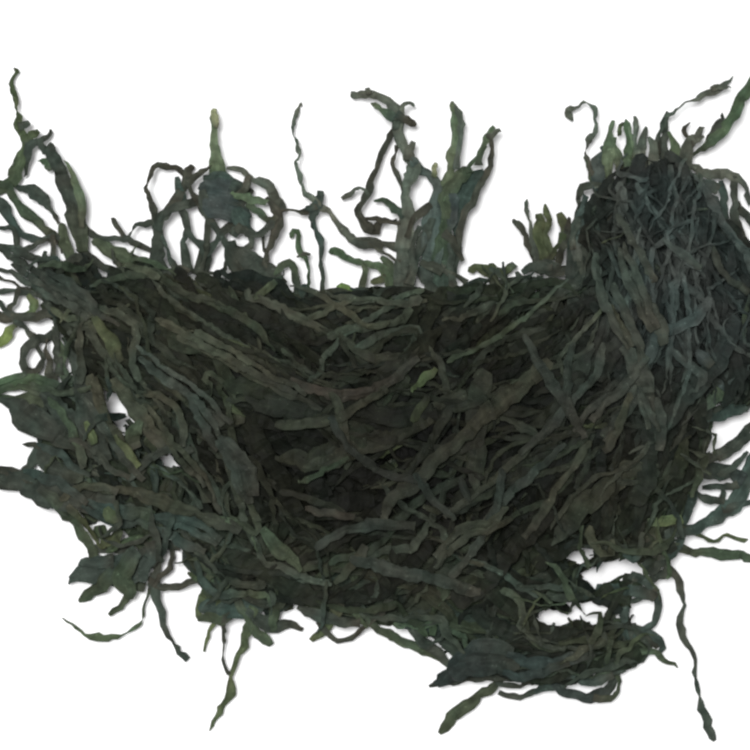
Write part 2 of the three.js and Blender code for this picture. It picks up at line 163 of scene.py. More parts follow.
@dataclass(frozen=True)
class Mound:
    """The rough form of the whole heap, as a blend of humps with gaps cut through it."""

    humps: tuple[Hump, ...] = (
        Hump(6, -15, 90, 57, 0, 38),
        Hump(-74, 12, 58, 31, -34, 30),
        Hump(110, 41, 33, 54, 0, 43),
        Hump(91, -10, 41, 46, 0, 35),
        Hump(139, 28, 26, 34, 0, 25),
        Hump(8, -65, 76, 23, 0, 16),
        Hump(94, -44, 26, 34, 0, 18),
        Hump(64, -90, 43, 23, -4, 12),
        Hump(20, -81, 23, 12, 0, 8),
        Hump(-50, -48, 28, 38, 10, 15),
        Hump(-49, -66, 18, 20, 0, 9),
        Hump(-92, -44, 22, 17, 10, 8),
        Hump(-110, -17, 25, 29, 0, 8),
        Hump(-116, 40, 25, 13, -32, 10),
        Hump(-44, 33, 34, 12, -8, 14),
        Hump(54, 35, 27, 13, 0, 13),
    )
    gaps: tuple[Hump, ...] = (
        Hump(-103.6, -4.4, 6, 11, 32, 1),
        Hump(-30, -83.6, 3.2, 3.2, 0, 1),
        Hump(91.2, -70, 11, 5.5, 28, 1),
        Hump(80, -63.6, 6, 3.6, 0, 1),
        Hump(69.2, -87.6, 8, 4.4, 0, 1),
        Hump(84, -84.8, 7.6, 5.8, 0, 1),
        Hump(106, -85, 6.5, 7, 0, 1),
        Hump(96, -90, 3.5, 5, 0, 1),
        Hump(104, -69, 3, 5, -20, 1),
        Hump(-81.2, -25.6, 3.4, 6.4, 35, 1),
        Hump(-98, -53.6, 7.5, 4, 20, 1),
        Hump(-114, 43, 2.5, 5, 40, 1),
        Hump(-93, -52, 5, 2, 10, 1),
        Hump(-104, -59, 4, 2, 20, 1),
        Hump(-109, -51.2, 3.6, 2.2, 20, 1),
        Hump(-108.4, 52, 4.4, 7.4, 48, 1),
        Hump(-132, 60.4, 3, 5, 0, 1),
        Hump(-125.6, 54.4, 3, 3.4, 0, 1),
        Hump(-98, 53.2, 3.6, 2.4, 0, 1),
        Hump(-57.2, 54.4, 3, 2.6, 0, 1),
    )
    blend: float = 3.0

    def height(self, x: Array, y: Array) -> Array:
        """How high the mound stands over each point.

        Args:
            x: The points' x.
            y: The points' y.

        Returns:
            The heights, 0 outside the mound and in its gaps.
        """
        height = sum(hump.dome(x, y) ** self.blend for hump in self.humps) ** (1 / self.blend)
        for gap in self.gaps:
            height = np.where(gap.dome(x, y) > 0, 0, height)
        return height


@dataclass(frozen=True)
class Grain:
    """The way the strips run: x, y, the heading there and how far they stray from it, in degrees."""

    entries: tuple[tuple[float, float, float, float], ...] = (
        (-110, 50, -30, 12), (-80, 30, -36, 10), (-40, 10, -32, 16), (-92, -10, -52, 18),
        (-70, -40, -58, 18), (-30, -30, -45, 34), (0, 32, -4, 30), (42, 30, 12, 36),
        (0, -10, 25, 40), (40, -12, 42, 34), (72, -22, 48, 24), (58, -48, 45, 26),
        (20, -54, 14, 30), (-20, -62, -12, 30), (92, 22, 74, 10), (98, 56, 94, 9), (110, 86, 60, 44),
        (112, 30, 108, 9), (132, 20, 104, 14), (110, -2, 60, 14), (116, -34, 62, 24),
        (80, -72, 20, 34), (40, -92, -4, 30), (-120, -30, -40, 22), (146, 44, 118, 22),
    )
    blur: float = 13.0
    falloff: float = 1.5

    def doubled(self, x: Array, y: Array) -> tuple[Array, Array, Array]:
        """Blends the headings that are known, doubled, because a strip has no forward or back.

        Args:
            x: The points' x.
            y: The points' y.

        Returns:
            The cosine and the sine of twice the heading at each point, and the spread in radians.
        """
        cosine, sine, spread, total = (np.zeros_like(x) for _ in range(4))
        for ex, ey, heading, stray in self.entries:
            pull = 1 / ((x - ex) ** 2 + (y - ey) ** 2 + self.blur**2) ** self.falloff
            cosine += pull * math.cos(2 * math.radians(heading))
            sine += pull * math.sin(2 * math.radians(heading))
            spread += pull * math.radians(stray)
            total += pull
        return cosine, sine, spread / total


@dataclass
class Table:
    """The stretch of table under the heap, cut into cells that hold heights and headings."""

    mound: Mound
    grain: Grain
    west: float = -200.0
    south: float = -170.0
    width: float = 400.0
    depth: float = 340.0
    cell: float = 1.0
    edge: float = 1.0
    shore: int = 16
    mound_top: Array = field(init=False)
    pile_top: Array = field(init=False)
    heading: Array = field(init=False)
    spread: Array = field(init=False)
    inland: Array = field(init=False)

    def __post_init__(self) -> None:
        """Works out the mound's height, the grain's heading and the way inland in every cell."""
        x, y = np.meshgrid(
            self.west + self.cell * (np.arange(self.width / self.cell) + 0.5),
            self.south + self.cell * (np.arange(self.depth / self.cell) + 0.5),
        )
        self.mound_top = self.mound.height(x, y)
        self.pile_top = np.zeros_like(x)
        cosine, sine, self.spread = self.grain.doubled(x, y)
        self.heading = np.arctan2(sine, cosine) / 2
        inside = self.mound_top > self.edge
        self.inland = inside.astype(float)
        for _ in range(self.shore):
            inside = inside & np.roll(inside, 1, 0) & np.roll(inside, -1, 0)
            inside &= np.roll(inside, 1, 1) & np.roll(inside, -1, 1)
            self.inland += inside

    def cells(self, x: Array, y: Array) -> tuple[Array, Array]:
        """The row and column of the cell that each point lies in.

        Args:
            x: The points' x.
            y: The points' y.

        Returns:
            The rows and the columns, kept on the table.
        """
        rows, columns = self.pile_top.shape
        column = np.clip(((np.asarray(x) - self.west) / self.cell).astype(int), 0, columns - 1)
        row = np.clip(((np.asarray(y) - self.south) / self.cell).astype(int), 0, rows - 1)
        return row, column


@dataclass
class Strip:
    """One strip as it lies: its middle line, and its width, roll and curl at each point."""

    line: Array
    width: Array
    roll: Array
    curl: Array
    tint: Array
    thickness: float


@dataclass(frozen=True)
class MiddleShade:
    """Painted shade, darkest at the heap's middle: the middle, the half widths and how it fades."""

    x: float = 18.0
    y: float = -20.0
    across: float = 105.0
    along: float = 54.0
    fade: float = 1.5

    def light(self, line: Array, darkest: float) -> Array:
        """How light each point of a strip's line is left by the painted shade.

        Args:
            line: The line's points, x and y first.
            darkest: How light the middle is, where the heap's edge is 1.

        Returns:
            One factor in a row for each point.
        """
        across, along = (line[:, 0] - self.x) / self.across, (line[:, 1] - self.y) / self.along
        away = np.clip(np.hypot(across, along), 0, 1)
        return (darkest + (1 - darkest) * away**self.fade)[:, None]


@dataclass(frozen=True)
class Cut:
    """How one kind of strip was cut and how it dried."""

    length: Pair
    width: Pair
    roll: float = 38.0
    curl: float = 0.8
    wander: float = 12.0
    thickness: float = 0.35
    step: float = STEP
    lift: float = 0.0
    folds: float = 1.0


class Kind(Enum):
    """The kinds of strips that the heap is made of."""

    PRESSED = Cut(length=(40, 90), width=(3, 6), roll=3, curl=0.2, step=3.0, thickness=0.5)
    BURIED = Cut(length=(50, 110), width=(3.5, 6.5), step=3.4)
    PLAIN = Cut(length=(35, 105), width=(2.2, 4.6), roll=24, curl=0.3, wander=8)
    SLIM = Cut(length=(35, 100), width=(1.7, 3.6), roll=24, curl=0.3, wander=10)
    WIDE = Cut(length=(45, 95), width=(4.8, 8.0), roll=18, curl=0.2, wander=6)
    THIN = Cut(length=(30, 80), width=(1.2, 2.2), roll=34, wander=12, thickness=0.4, lift=1)
    CURLY = Cut(length=(24, 60), width=(2.0, 3.6), roll=36, wander=24, folds=2.5, lift=2)
    SPIKE = Cut(length=(20, 50), width=(1.2, 3.4), wander=20, folds=2, lift=3)
    SINGLE = Cut(length=(0, 0), width=(0, 0), roll=20, curl=0.35)


@dataclass
class Waves:
    """Smooth random wander along a strip, as a few sine waves, each shorter and weaker than the last."""

    random: np.random.Generator
    longest: float = 46.0
    count: int = 3
    shorter: float = 1.7
    weaker: float = 1.4
    calming: float = 1.7
    stretch: Pair = (0.8, 1.25)

    def along(self, distance: Array) -> Array:
        """Draws the waves anew and adds them up.

        Args:
            distance: The distances along the strip.

        Returns:
            A wander of about -1 to 1 at each distance.
        """
        total = np.zeros_like(distance)
        for wave in range(self.count):
            length = self.longest / (self.shorter**wave) * self.random.uniform(*self.stretch)
            phase = self.random.uniform(0, 2 * math.pi)
            total += np.sin(2 * math.pi * distance / length + phase) / (self.weaker**wave)
        return total / self.calming


@dataclass
class Layer:
    """Lays strips on the heap and keeps its height up to date.

    The unevenness is pairs of how much a strip's width varies and how fast, and a pace says how
    much faster than the strip's slow waves something changes along it.
    """

    table: Table
    random: np.random.Generator
    bridging: int = 12
    smoothing: int = 2
    feelers: int = 5
    sink: float = 0.2
    clearance: float = 0.12
    bulge: float = 0.25
    crinkle: float = 0.35
    crinkle_pace: float = 4.0
    curl_pace: float = 0.8
    roll_bias: float = 0.5
    unevenness: tuple[Pair, ...] = ((0.14, 1.1), (0.08, 4.3))
    # painted shade: the strips are darker towards the heap's middle
    middle_shade: MiddleShade = MiddleShade()

    def crumple(self, line: Array, width: Array, cut: Cut) -> Strip:
        """Gives a flat route its width, roll and curl, with the unevenness of dried kelp.

        Args:
            line: The route's points, x and y.
            width: The width at each point.
            cut: How the strip was cut and dried.

        Returns:
            The strip, still flat on the table and without a tint.
        """
        step = np.linalg.norm(np.diff(line, axis=0), axis=1)
        distance = np.concatenate([[0.0], np.cumsum(step)])
        waves = Waves(self.random)
        uneven = np.ones(len(line))
        for depth, pace in self.unevenness:
            uneven += depth * waves.along(distance * pace)
        bias = self.roll_bias
        roll = math.radians(cut.roll) * (waves.along(distance) + self.random.uniform(-bias, bias))
        curl = cut.curl * waves.along(distance * self.curl_pace)
        crinkles = [waves.along(distance * self.crinkle_pace) for _ in range(2)]
        wrinkled = line + self.crinkle * np.column_stack(crinkles)
        flat = np.column_stack([wrinkled, np.zeros(len(line))])
        return Strip(flat, width * uneven, roll, curl, np.zeros((len(line), 3)), cut.thickness)

    def drape(self, strip: Strip, free: Array | float = 0.0, lift: Array | float = 0.0) -> None:
        """Lowers a strip onto the heap, lets it bridge the hollows, and raises the heap by it.

        Args:
            strip: The strip, whose line gets its heights.
            free: The least height over the table at each point, where the strip springs up.
            lift: How far it springs up from what it lies on.
        """
        x, y = strip.line[:, 0], strip.line[:, 1]
        along = unit(np.gradient(strip.line[:, :2], axis=0))
        half = strip.width / 2
        level, tilt = np.cos(strip.roll) * half, np.sin(strip.roll) * half
        across = np.linspace(-1, 1, self.feelers)[:, None]
        rows, columns = self.table.cells(
            x - along[:, 1] * level * across, y + along[:, 0] * level * across
        )
        under = self.table.pile_top[rows, columns].max(axis=0)
        half_rise = np.abs(tilt) + strip.thickness / 2
        support = np.maximum(under + half_rise * self.sink + lift, free)
        height = support.copy()
        for _ in range(self.bridging):
            height = np.maximum(support, eased(height))
        for _ in range(self.smoothing):
            height = eased(height)
        distance = np.arange(len(height)) * STEP
        height += self.crinkle * Waves(self.random).along(distance * self.crinkle_pace)
        bulge = np.abs(strip.curl) * half * self.bulge
        height = np.maximum(height, half_rise + bulge + self.clearance)
        strip.line[:, 2] = height
        top = height + tilt * across + strip.thickness / 2
        np.maximum.at(self.table.pile_top, (rows, columns), top)


@dataclass(frozen=True)
class Dye:
    """How strips are coloured: dull in the middle of the heap, bluer in the east, and lighter and greener
    at the rim, partly their own colour and partly painted light through the thin strips there.
    """

    inner: tuple[tuple[Tone, float], ...] = (
        (Tone.INK, 0.16), (Tone.UMBER, 0.16), (Tone.BARK, 0.22),
        (Tone.SLATE, 0.26), (Tone.TEAL, 0.1), (Tone.MOSS, 0.1),
    )
    outer: tuple[tuple[Tone, float], ...] = (
        (Tone.SLATE, 0.3), (Tone.TEAL, 0.34), (Tone.MOSS, 0.26), (Tone.LEAF, 0.1),
    )
    mixing: float = 0.3
    rim_height: float = 24.0
    east_from: Pair = (62.0, -40.0)
    east_over: Pair = (40.0, 60.0)
    variety: float = 0.36
    rim_variety: float = 0.5
    east_variety: float = 0.28
    # painted light: the far end of the east mound is made lighter
    painted_light: float = 0.3
    painted_light_from: float = 30.0
    painted_light_over: float = 50.0
    spot_chance: float = 0.05
    spot_reach: float = 4.0
    spot_strength: float = 0.4

    def draw(self, random: np.random.Generator, tones: tuple[tuple[Tone, float], ...]) -> Tone:
        """Draws one of the tones by their shares."""
        return random.choice([tone for tone, _ in tones], p=[share for _, share in tones])

    def colour(self, strip: Strip, mound_top: Array, random: np.random.Generator) -> tuple[Array, Array]:
        """Mixes a strip's colour along its way.

        Args:
            strip: The strip, already in its place.
            mound_top: The mound's height at each of its points.
            random: Where the draws come from.

        Returns:
            The colour at each point, and how much lighter the painted light makes it there, at the
            far end of the east mound.
        """
        x, y = strip.line[:, 0], strip.line[:, 1]
        rim = 1 - np.clip(mound_top / self.rim_height, 0, 1)
        east = np.clip((x - self.east_from[0]) / self.east_over[0], 0, 1)
        east = east * np.clip((y - self.east_from[1]) / self.east_over[1], 0, 1)
        rim, east = rim[:, None], east[:, None]
        inner, outer = self.draw(random, self.inner), self.draw(random, self.outer)
        ground = np.array(Tone.DEEP.value) * (1 - east) + np.array(Tone.SEA.value) * east
        weight = np.clip(rim + random.uniform(-self.mixing, self.mixing), 0, 1)
        own = (1 - weight) * np.array(inner.value) + weight * np.array(outer.value)
        variety = self.variety + self.rim_variety * rim - self.east_variety * east
        # painted light, growing towards the far end of the east mound
        painted_light = np.clip((y - self.painted_light_from) / self.painted_light_over, 0, 1)[:, None]
        return ground + (own - ground) * np.clip(variety, 0, 1), 1 + self.painted_light * east * painted_light

    def stain(self, strip: Strip, random: np.random.Generator) -> None:
        """Gives a few of the strips one olive spot."""
        if random.random() < self.spot_chance:
            middle = random.uniform(0, len(strip.line))
            away = (np.arange(len(strip.line)) - middle) / self.spot_reach
            spot = np.exp(-(away**2))[:, None]
            strip.tint += spot * (np.array(Tone.OLIVE.value) - strip.tint) * self.spot_strength


@dataclass(frozen=True)
class Fork:
    """How a branch leaves its strip: where, how sharply, how far it runs and its share of the width."""

    place: Pair = (0.3, 0.7)
    overlap: int = 5
    turn: Pair = (18.0, 50.0)
    length: Pair = (12.0, 38.0)
    width: Pair = (0.5, 0.8)
    shortest: int = 8
    shortest_stem: int = 16


@dataclass
class Bulk:
    """Strips thrown over the whole mound, where it is still too low for what it should be.

    They start where the mound is higher than its edge and, for a fringe, no further inland than
    furthest_in. They turn along the rim where the mound ahead is lower than rim times the edge.
    A torn end narrows over more points than a cut one. The first strips are as light as the first
    of the shades and the last ones as the second, a painted shade that darkens the strips laid
    first, which lie lower in the heap, and each varies from that by its own shade.
    """

    layer: Layer
    count: int
    rise: float
    cuts: tuple[tuple[float, Kind], ...]
    edge: float = 1.0
    rim: float = 2.0
    rim_turn: float = 0.2
    look_ahead: float = 8.0
    look_aside: float = 0.8
    overhang: Pair = (0.5, 5.0)
    furthest_in: float = 999.0
    overrun: float = 1.8
    tries: int = 6
    fair: float = 22.0
    astray: float = 1.0
    grain_pull: float = 22.0
    wander: float = 2.2
    longest_wander: float = 80.0
    fold_spacing: float = 38.0
    sharpest_fold: float = 75.0
    hoop: float = 0.0
    hoop_spread: Pair = (0.4, 1.4)
    fewest_steps: int = 3
    fewest_points: int = 6
    torn: float = 0.6
    torn_end: Pair = (7.0, 0.2)
    cut_end: Pair = (1.6, 0.6)
    forked: float = 0.0
    fork_shape: Fork = Fork()
    east: float = 78.0
    east_width: float = 0.66
    dye: Dye = Dye()
    darkest: float = 0.42
    # painted shade by the order of laying: the first strips, lower in the heap, are darker
    shades: Pair = (0.42, 0.6)
    shade: Pair = (0.9, 1.1)
    places: Array = field(init=False)

    def __post_init__(self) -> None:
        """Finds the cells in which a strip may start."""
        table = self.layer.table
        self.places = np.argwhere((table.mound_top > self.edge) & (table.inland <= self.furthest_in))

    def seed(self) -> Pair:
        """Draws a few places on the mound and takes the one furthest from full, for its height.

        Returns:
            Its x and y.
        """
        table, random = self.layer.table, self.layer.random
        rows, columns = self.places[random.integers(len(self.places), size=self.tries)].T
        full = table.mound_top[rows, columns]
        best = int(np.argmax((full - table.pile_top[rows, columns]) / (full + self.fair)))
        x = table.west + table.cell * (columns[best] + random.uniform(0, 1))
        y = table.south + table.cell * (rows[best] + random.uniform(0, 1))
        return float(x), float(y)

    def missing(self, line: Array) -> float:
        """How far the heap still is from its full height along a route.

        Args:
            line: The route's points, x and y.

        Returns:
            The mean of the missing height.
        """
        cells = self.layer.table.cells(line[:, 0], line[:, 1])
        full = self.layer.table.mound_top[cells] + self.rise
        return float((full - self.layer.table.pile_top[cells]).mean())

    def half_route(
        self, x: float, y: float, heading: float, offset: float, cut: Cut, length: float, hoop: float = 0.0
    ) -> list[Pair]:
        """Follows the grain one way from a point.

        Args:
            x: Where the route starts.
            y: Where the route starts.
            heading: The way it sets out, in radians.
            offset: How far it keeps turned from the grain, in radians.
            cut: How the strip was cut, which says how much it wanders.
            length: How far to go.
            hoop: How much it curls round, in radians for each millimetre.

        Returns:
            The points after the first.
        """
        table, random = self.layer.table, self.layer.random
        steps = max(self.fewest_steps, int(length / cut.step))
        waves = Waves(random, longest=self.longest_wander)
        bends = np.gradient(waves.along(np.arange(steps) * cut.step))
        bends *= math.radians(cut.wander) * self.wander
        folds = random.random(steps) < cut.folds * cut.step / self.fold_spacing
        bends += folds * random.uniform(-1, 1, steps) * math.radians(self.sharpest_fold)
        spare = random.uniform(*self.overhang)
        points = []
        for bend in bends:
            x += cut.step * math.cos(heading)
            y += cut.step * math.sin(heading)
            row, column = table.cells(x, y)
            if table.mound_top[row, column] < self.edge:
                spare -= cut.step
            if spare < 0 or table.inland[row, column] > self.furthest_in * self.overrun:
                break
            if hoop:
                heading += hoop * cut.step + bend
            else:
                turned = math.atan(math.tan(table.heading[row, column] + offset - heading))
                pull = turned * cut.step / self.grain_pull
                heading += pull + bend + self.turn_back(x, y, heading)
            points.append((x, y))
        return points

    def turn_back(self, x: float, y: float, heading: float) -> float:
        """Turns a strip that is about to leave the mound along its rim.

        Args:
            x: Where the strip has got to.
            y: Where the strip has got to.
            heading: The way it runs there, in radians.

        Returns:
            How far it turns in one step, in radians.
        """
        ahead = heading + np.array([0.0, self.look_aside, -self.look_aside])
        rows, columns = self.layer.table.cells(
            x + self.look_ahead * np.cos(ahead), y + self.look_ahead * np.sin(ahead)
        )
        straight, left, right = self.layer.table.mound_top[rows, columns]
        if straight > self.edge * self.rim:
            return 0.0
        return self.rim_turn if left > right else -self.rim_turn

    def tint(self, strip: Strip) -> None:
        """Colours a strip by the dye, with painted shade that darkens it towards the heap's middle."""
        random = self.layer.random
        cells = self.layer.table.cells(strip.line[:, 0], strip.line[:, 1])
        # the second value is painted light, lighter at the far end of the east mound
        strip.tint, painted_lightening = self.dye.colour(strip, self.layer.table.mound_top[cells], random)
        # painted shade, darker towards the heap's middle
        middle_shade = self.layer.middle_shade.light(strip.line, self.darkest)
        strip.tint *= random.uniform(*self.shade) * middle_shade * painted_lightening
        self.dye.stain(strip, random)

    def taper(self, count: int) -> Array:
        """Draws how a strip narrows at its ends: cut off square, or torn to a point.

        Args:
            count: How many points the strip has.

        Returns:
            The share of its width that is left at each point.
        """
        taper = np.ones(count)
        for ends in (slice(None), slice(None, None, -1)):
            reach, tip = self.torn_end if self.layer.random.random() < self.torn else self.cut_end
            taper[ends] *= np.clip(np.arange(count) / reach + tip, 0, 1)
        return taper

    def fork(self, line: Array, cut: Cut) -> Array:
        """The route of a branch that leaves a strip on its way.

        Args:
            line: The strip's route.
            cut: How the strip was cut.

        Returns:
            The branch's route, which starts along the strip.
        """
        random, fork = self.layer.random, self.fork_shape
        split = int(len(line) * random.uniform(*fork.place))
        shared = line[max(0, split - fork.overlap) : split + 1]
        if random.random() < 0.5:
            shared = line[split : split + fork.overlap + 1][::-1]
        ahead = shared[-1] - shared[-2]
        turn = random.choice([-1, 1]) * math.radians(random.uniform(*fork.turn))
        heading = math.atan2(ahead[1], ahead[0]) + turn
        rest = self.half_route(*shared[-1], heading, turn, cut, random.uniform(*fork.length))
        return np.array([*map(tuple, shared), *rest])

    def lay(self, line: Array, width: float, cut: Cut) -> Strip:
        """Crumples, tapers, drapes and colours the strip that follows a route.

        Args:
            line: The route's points, x and y.
            width: The strip's width before its ends narrow.
            cut: How the strip was cut.

        Returns:
            The strip, with its tint.
        """
        strip = self.layer.crumple(line, width * self.taper(len(line)), cut)
        arch = np.sin(math.pi * np.linspace(0, 1, len(line)))
        self.layer.drape(strip, lift=cut.lift * self.layer.random.uniform(0, 1) * arch)
        self.tint(strip)
        return strip

    def throw(self) -> list[Strip]:
        """Throws all the strips of this layer.

        Returns:
            The strips, each with its tint.
        """
        random = self.layer.random
        shares = np.array([share for share, _ in self.cuts])
        strips = []
        for number in range(self.count):
            cut = self.cuts[random.choice(len(self.cuts), p=shares / shares.sum())][1].value
            x, y = self.seed()
            row, column = self.layer.table.cells(x, y)
            offset = random.normal(0, self.astray * float(self.layer.table.spread[row, column]))
            heading = float(self.layer.table.heading[row, column]) + offset
            length = random.uniform(*cut.length)
            hoop = self.hoop * random.uniform(*self.hoop_spread) * random.choice([-1, 1])
            ahead = self.half_route(x, y, heading, offset, cut, length / 2, hoop)
            behind = self.half_route(x, y, heading + math.pi, offset, cut, length / 2, -hoop)
            line = np.array(behind[::-1] + [(x, y)] + ahead)
            if len(line) < self.fewest_points or self.missing(line) < 0:
                continue
            width = random.uniform(*cut.width) * (self.east_width if x > self.east and y > 0 else 1)
            laid = len(strips)
            strips.append(self.lay(line, width, cut))
            if random.random() < self.forked and len(line) > self.fork_shape.shortest_stem:
                branch = self.fork(line, cut)
                if len(branch) > self.fork_shape.shortest:
                    share = random.uniform(*self.fork_shape.width)
                    strips.append(self.lay(branch, width * share, cut))
            # painted shade: the strips laid first lie lower in the heap and are darker
            for strip in strips[laid:]:
                strip.tint *= self.shades[0] + (self.shades[1] - self.shades[0]) * number / self.count
        return strips


@dataclass(frozen=True)
class Sight:
    """The line of sight, from nearly overhead, in which the single strips' routes are given."""

    aim: tuple[float, float, float] = (0.0, 8.6, 4.0)
    distance: float = 708.0
    elevation: float = 83.0
    level: float = 11.2

    @property
    def eye(self) -> Array:
        """The place from which the heap is seen."""
        tilt = math.radians(self.elevation)
        return np.array(self.aim) + self.distance * np.array([0, -math.cos(tilt), math.sin(tilt)])

    def place(self, seen: Array, height: Array | float) -> Array:
        """Finds the places over the table that cover the seen ones.

        Args:
            seen: Rows of x and y, across the line of sight.
            height: The height at each row.

        Returns:
            Rows of x and y at these heights.
        """
        tilt = math.radians(self.elevation)
        rise = seen[:, 1] - self.level
        upright = np.column_stack([seen[:, 0], rise * math.sin(tilt), rise * math.cos(tilt)])
        ray = np.array(self.aim) + upright - self.eye
        reach = (height - self.eye[2]) / ray[:, 2]
        return (self.eye + ray * reach[:, None])[:, :2]


@dataclass(frozen=True)
class Stray:
    """A single strip that shows: its tones, its arch, and the x, y and width of points on its way.

    The tone is that of its loose end and the root's that of its other end. A strip with more
    strands than one is torn lengthwise.
    """

    name: str
    tone: Tone
    arch: float
    route: tuple[tuple[float, float, float], ...]
    root: Tone = Tone.UMBER
    strands: int = 1


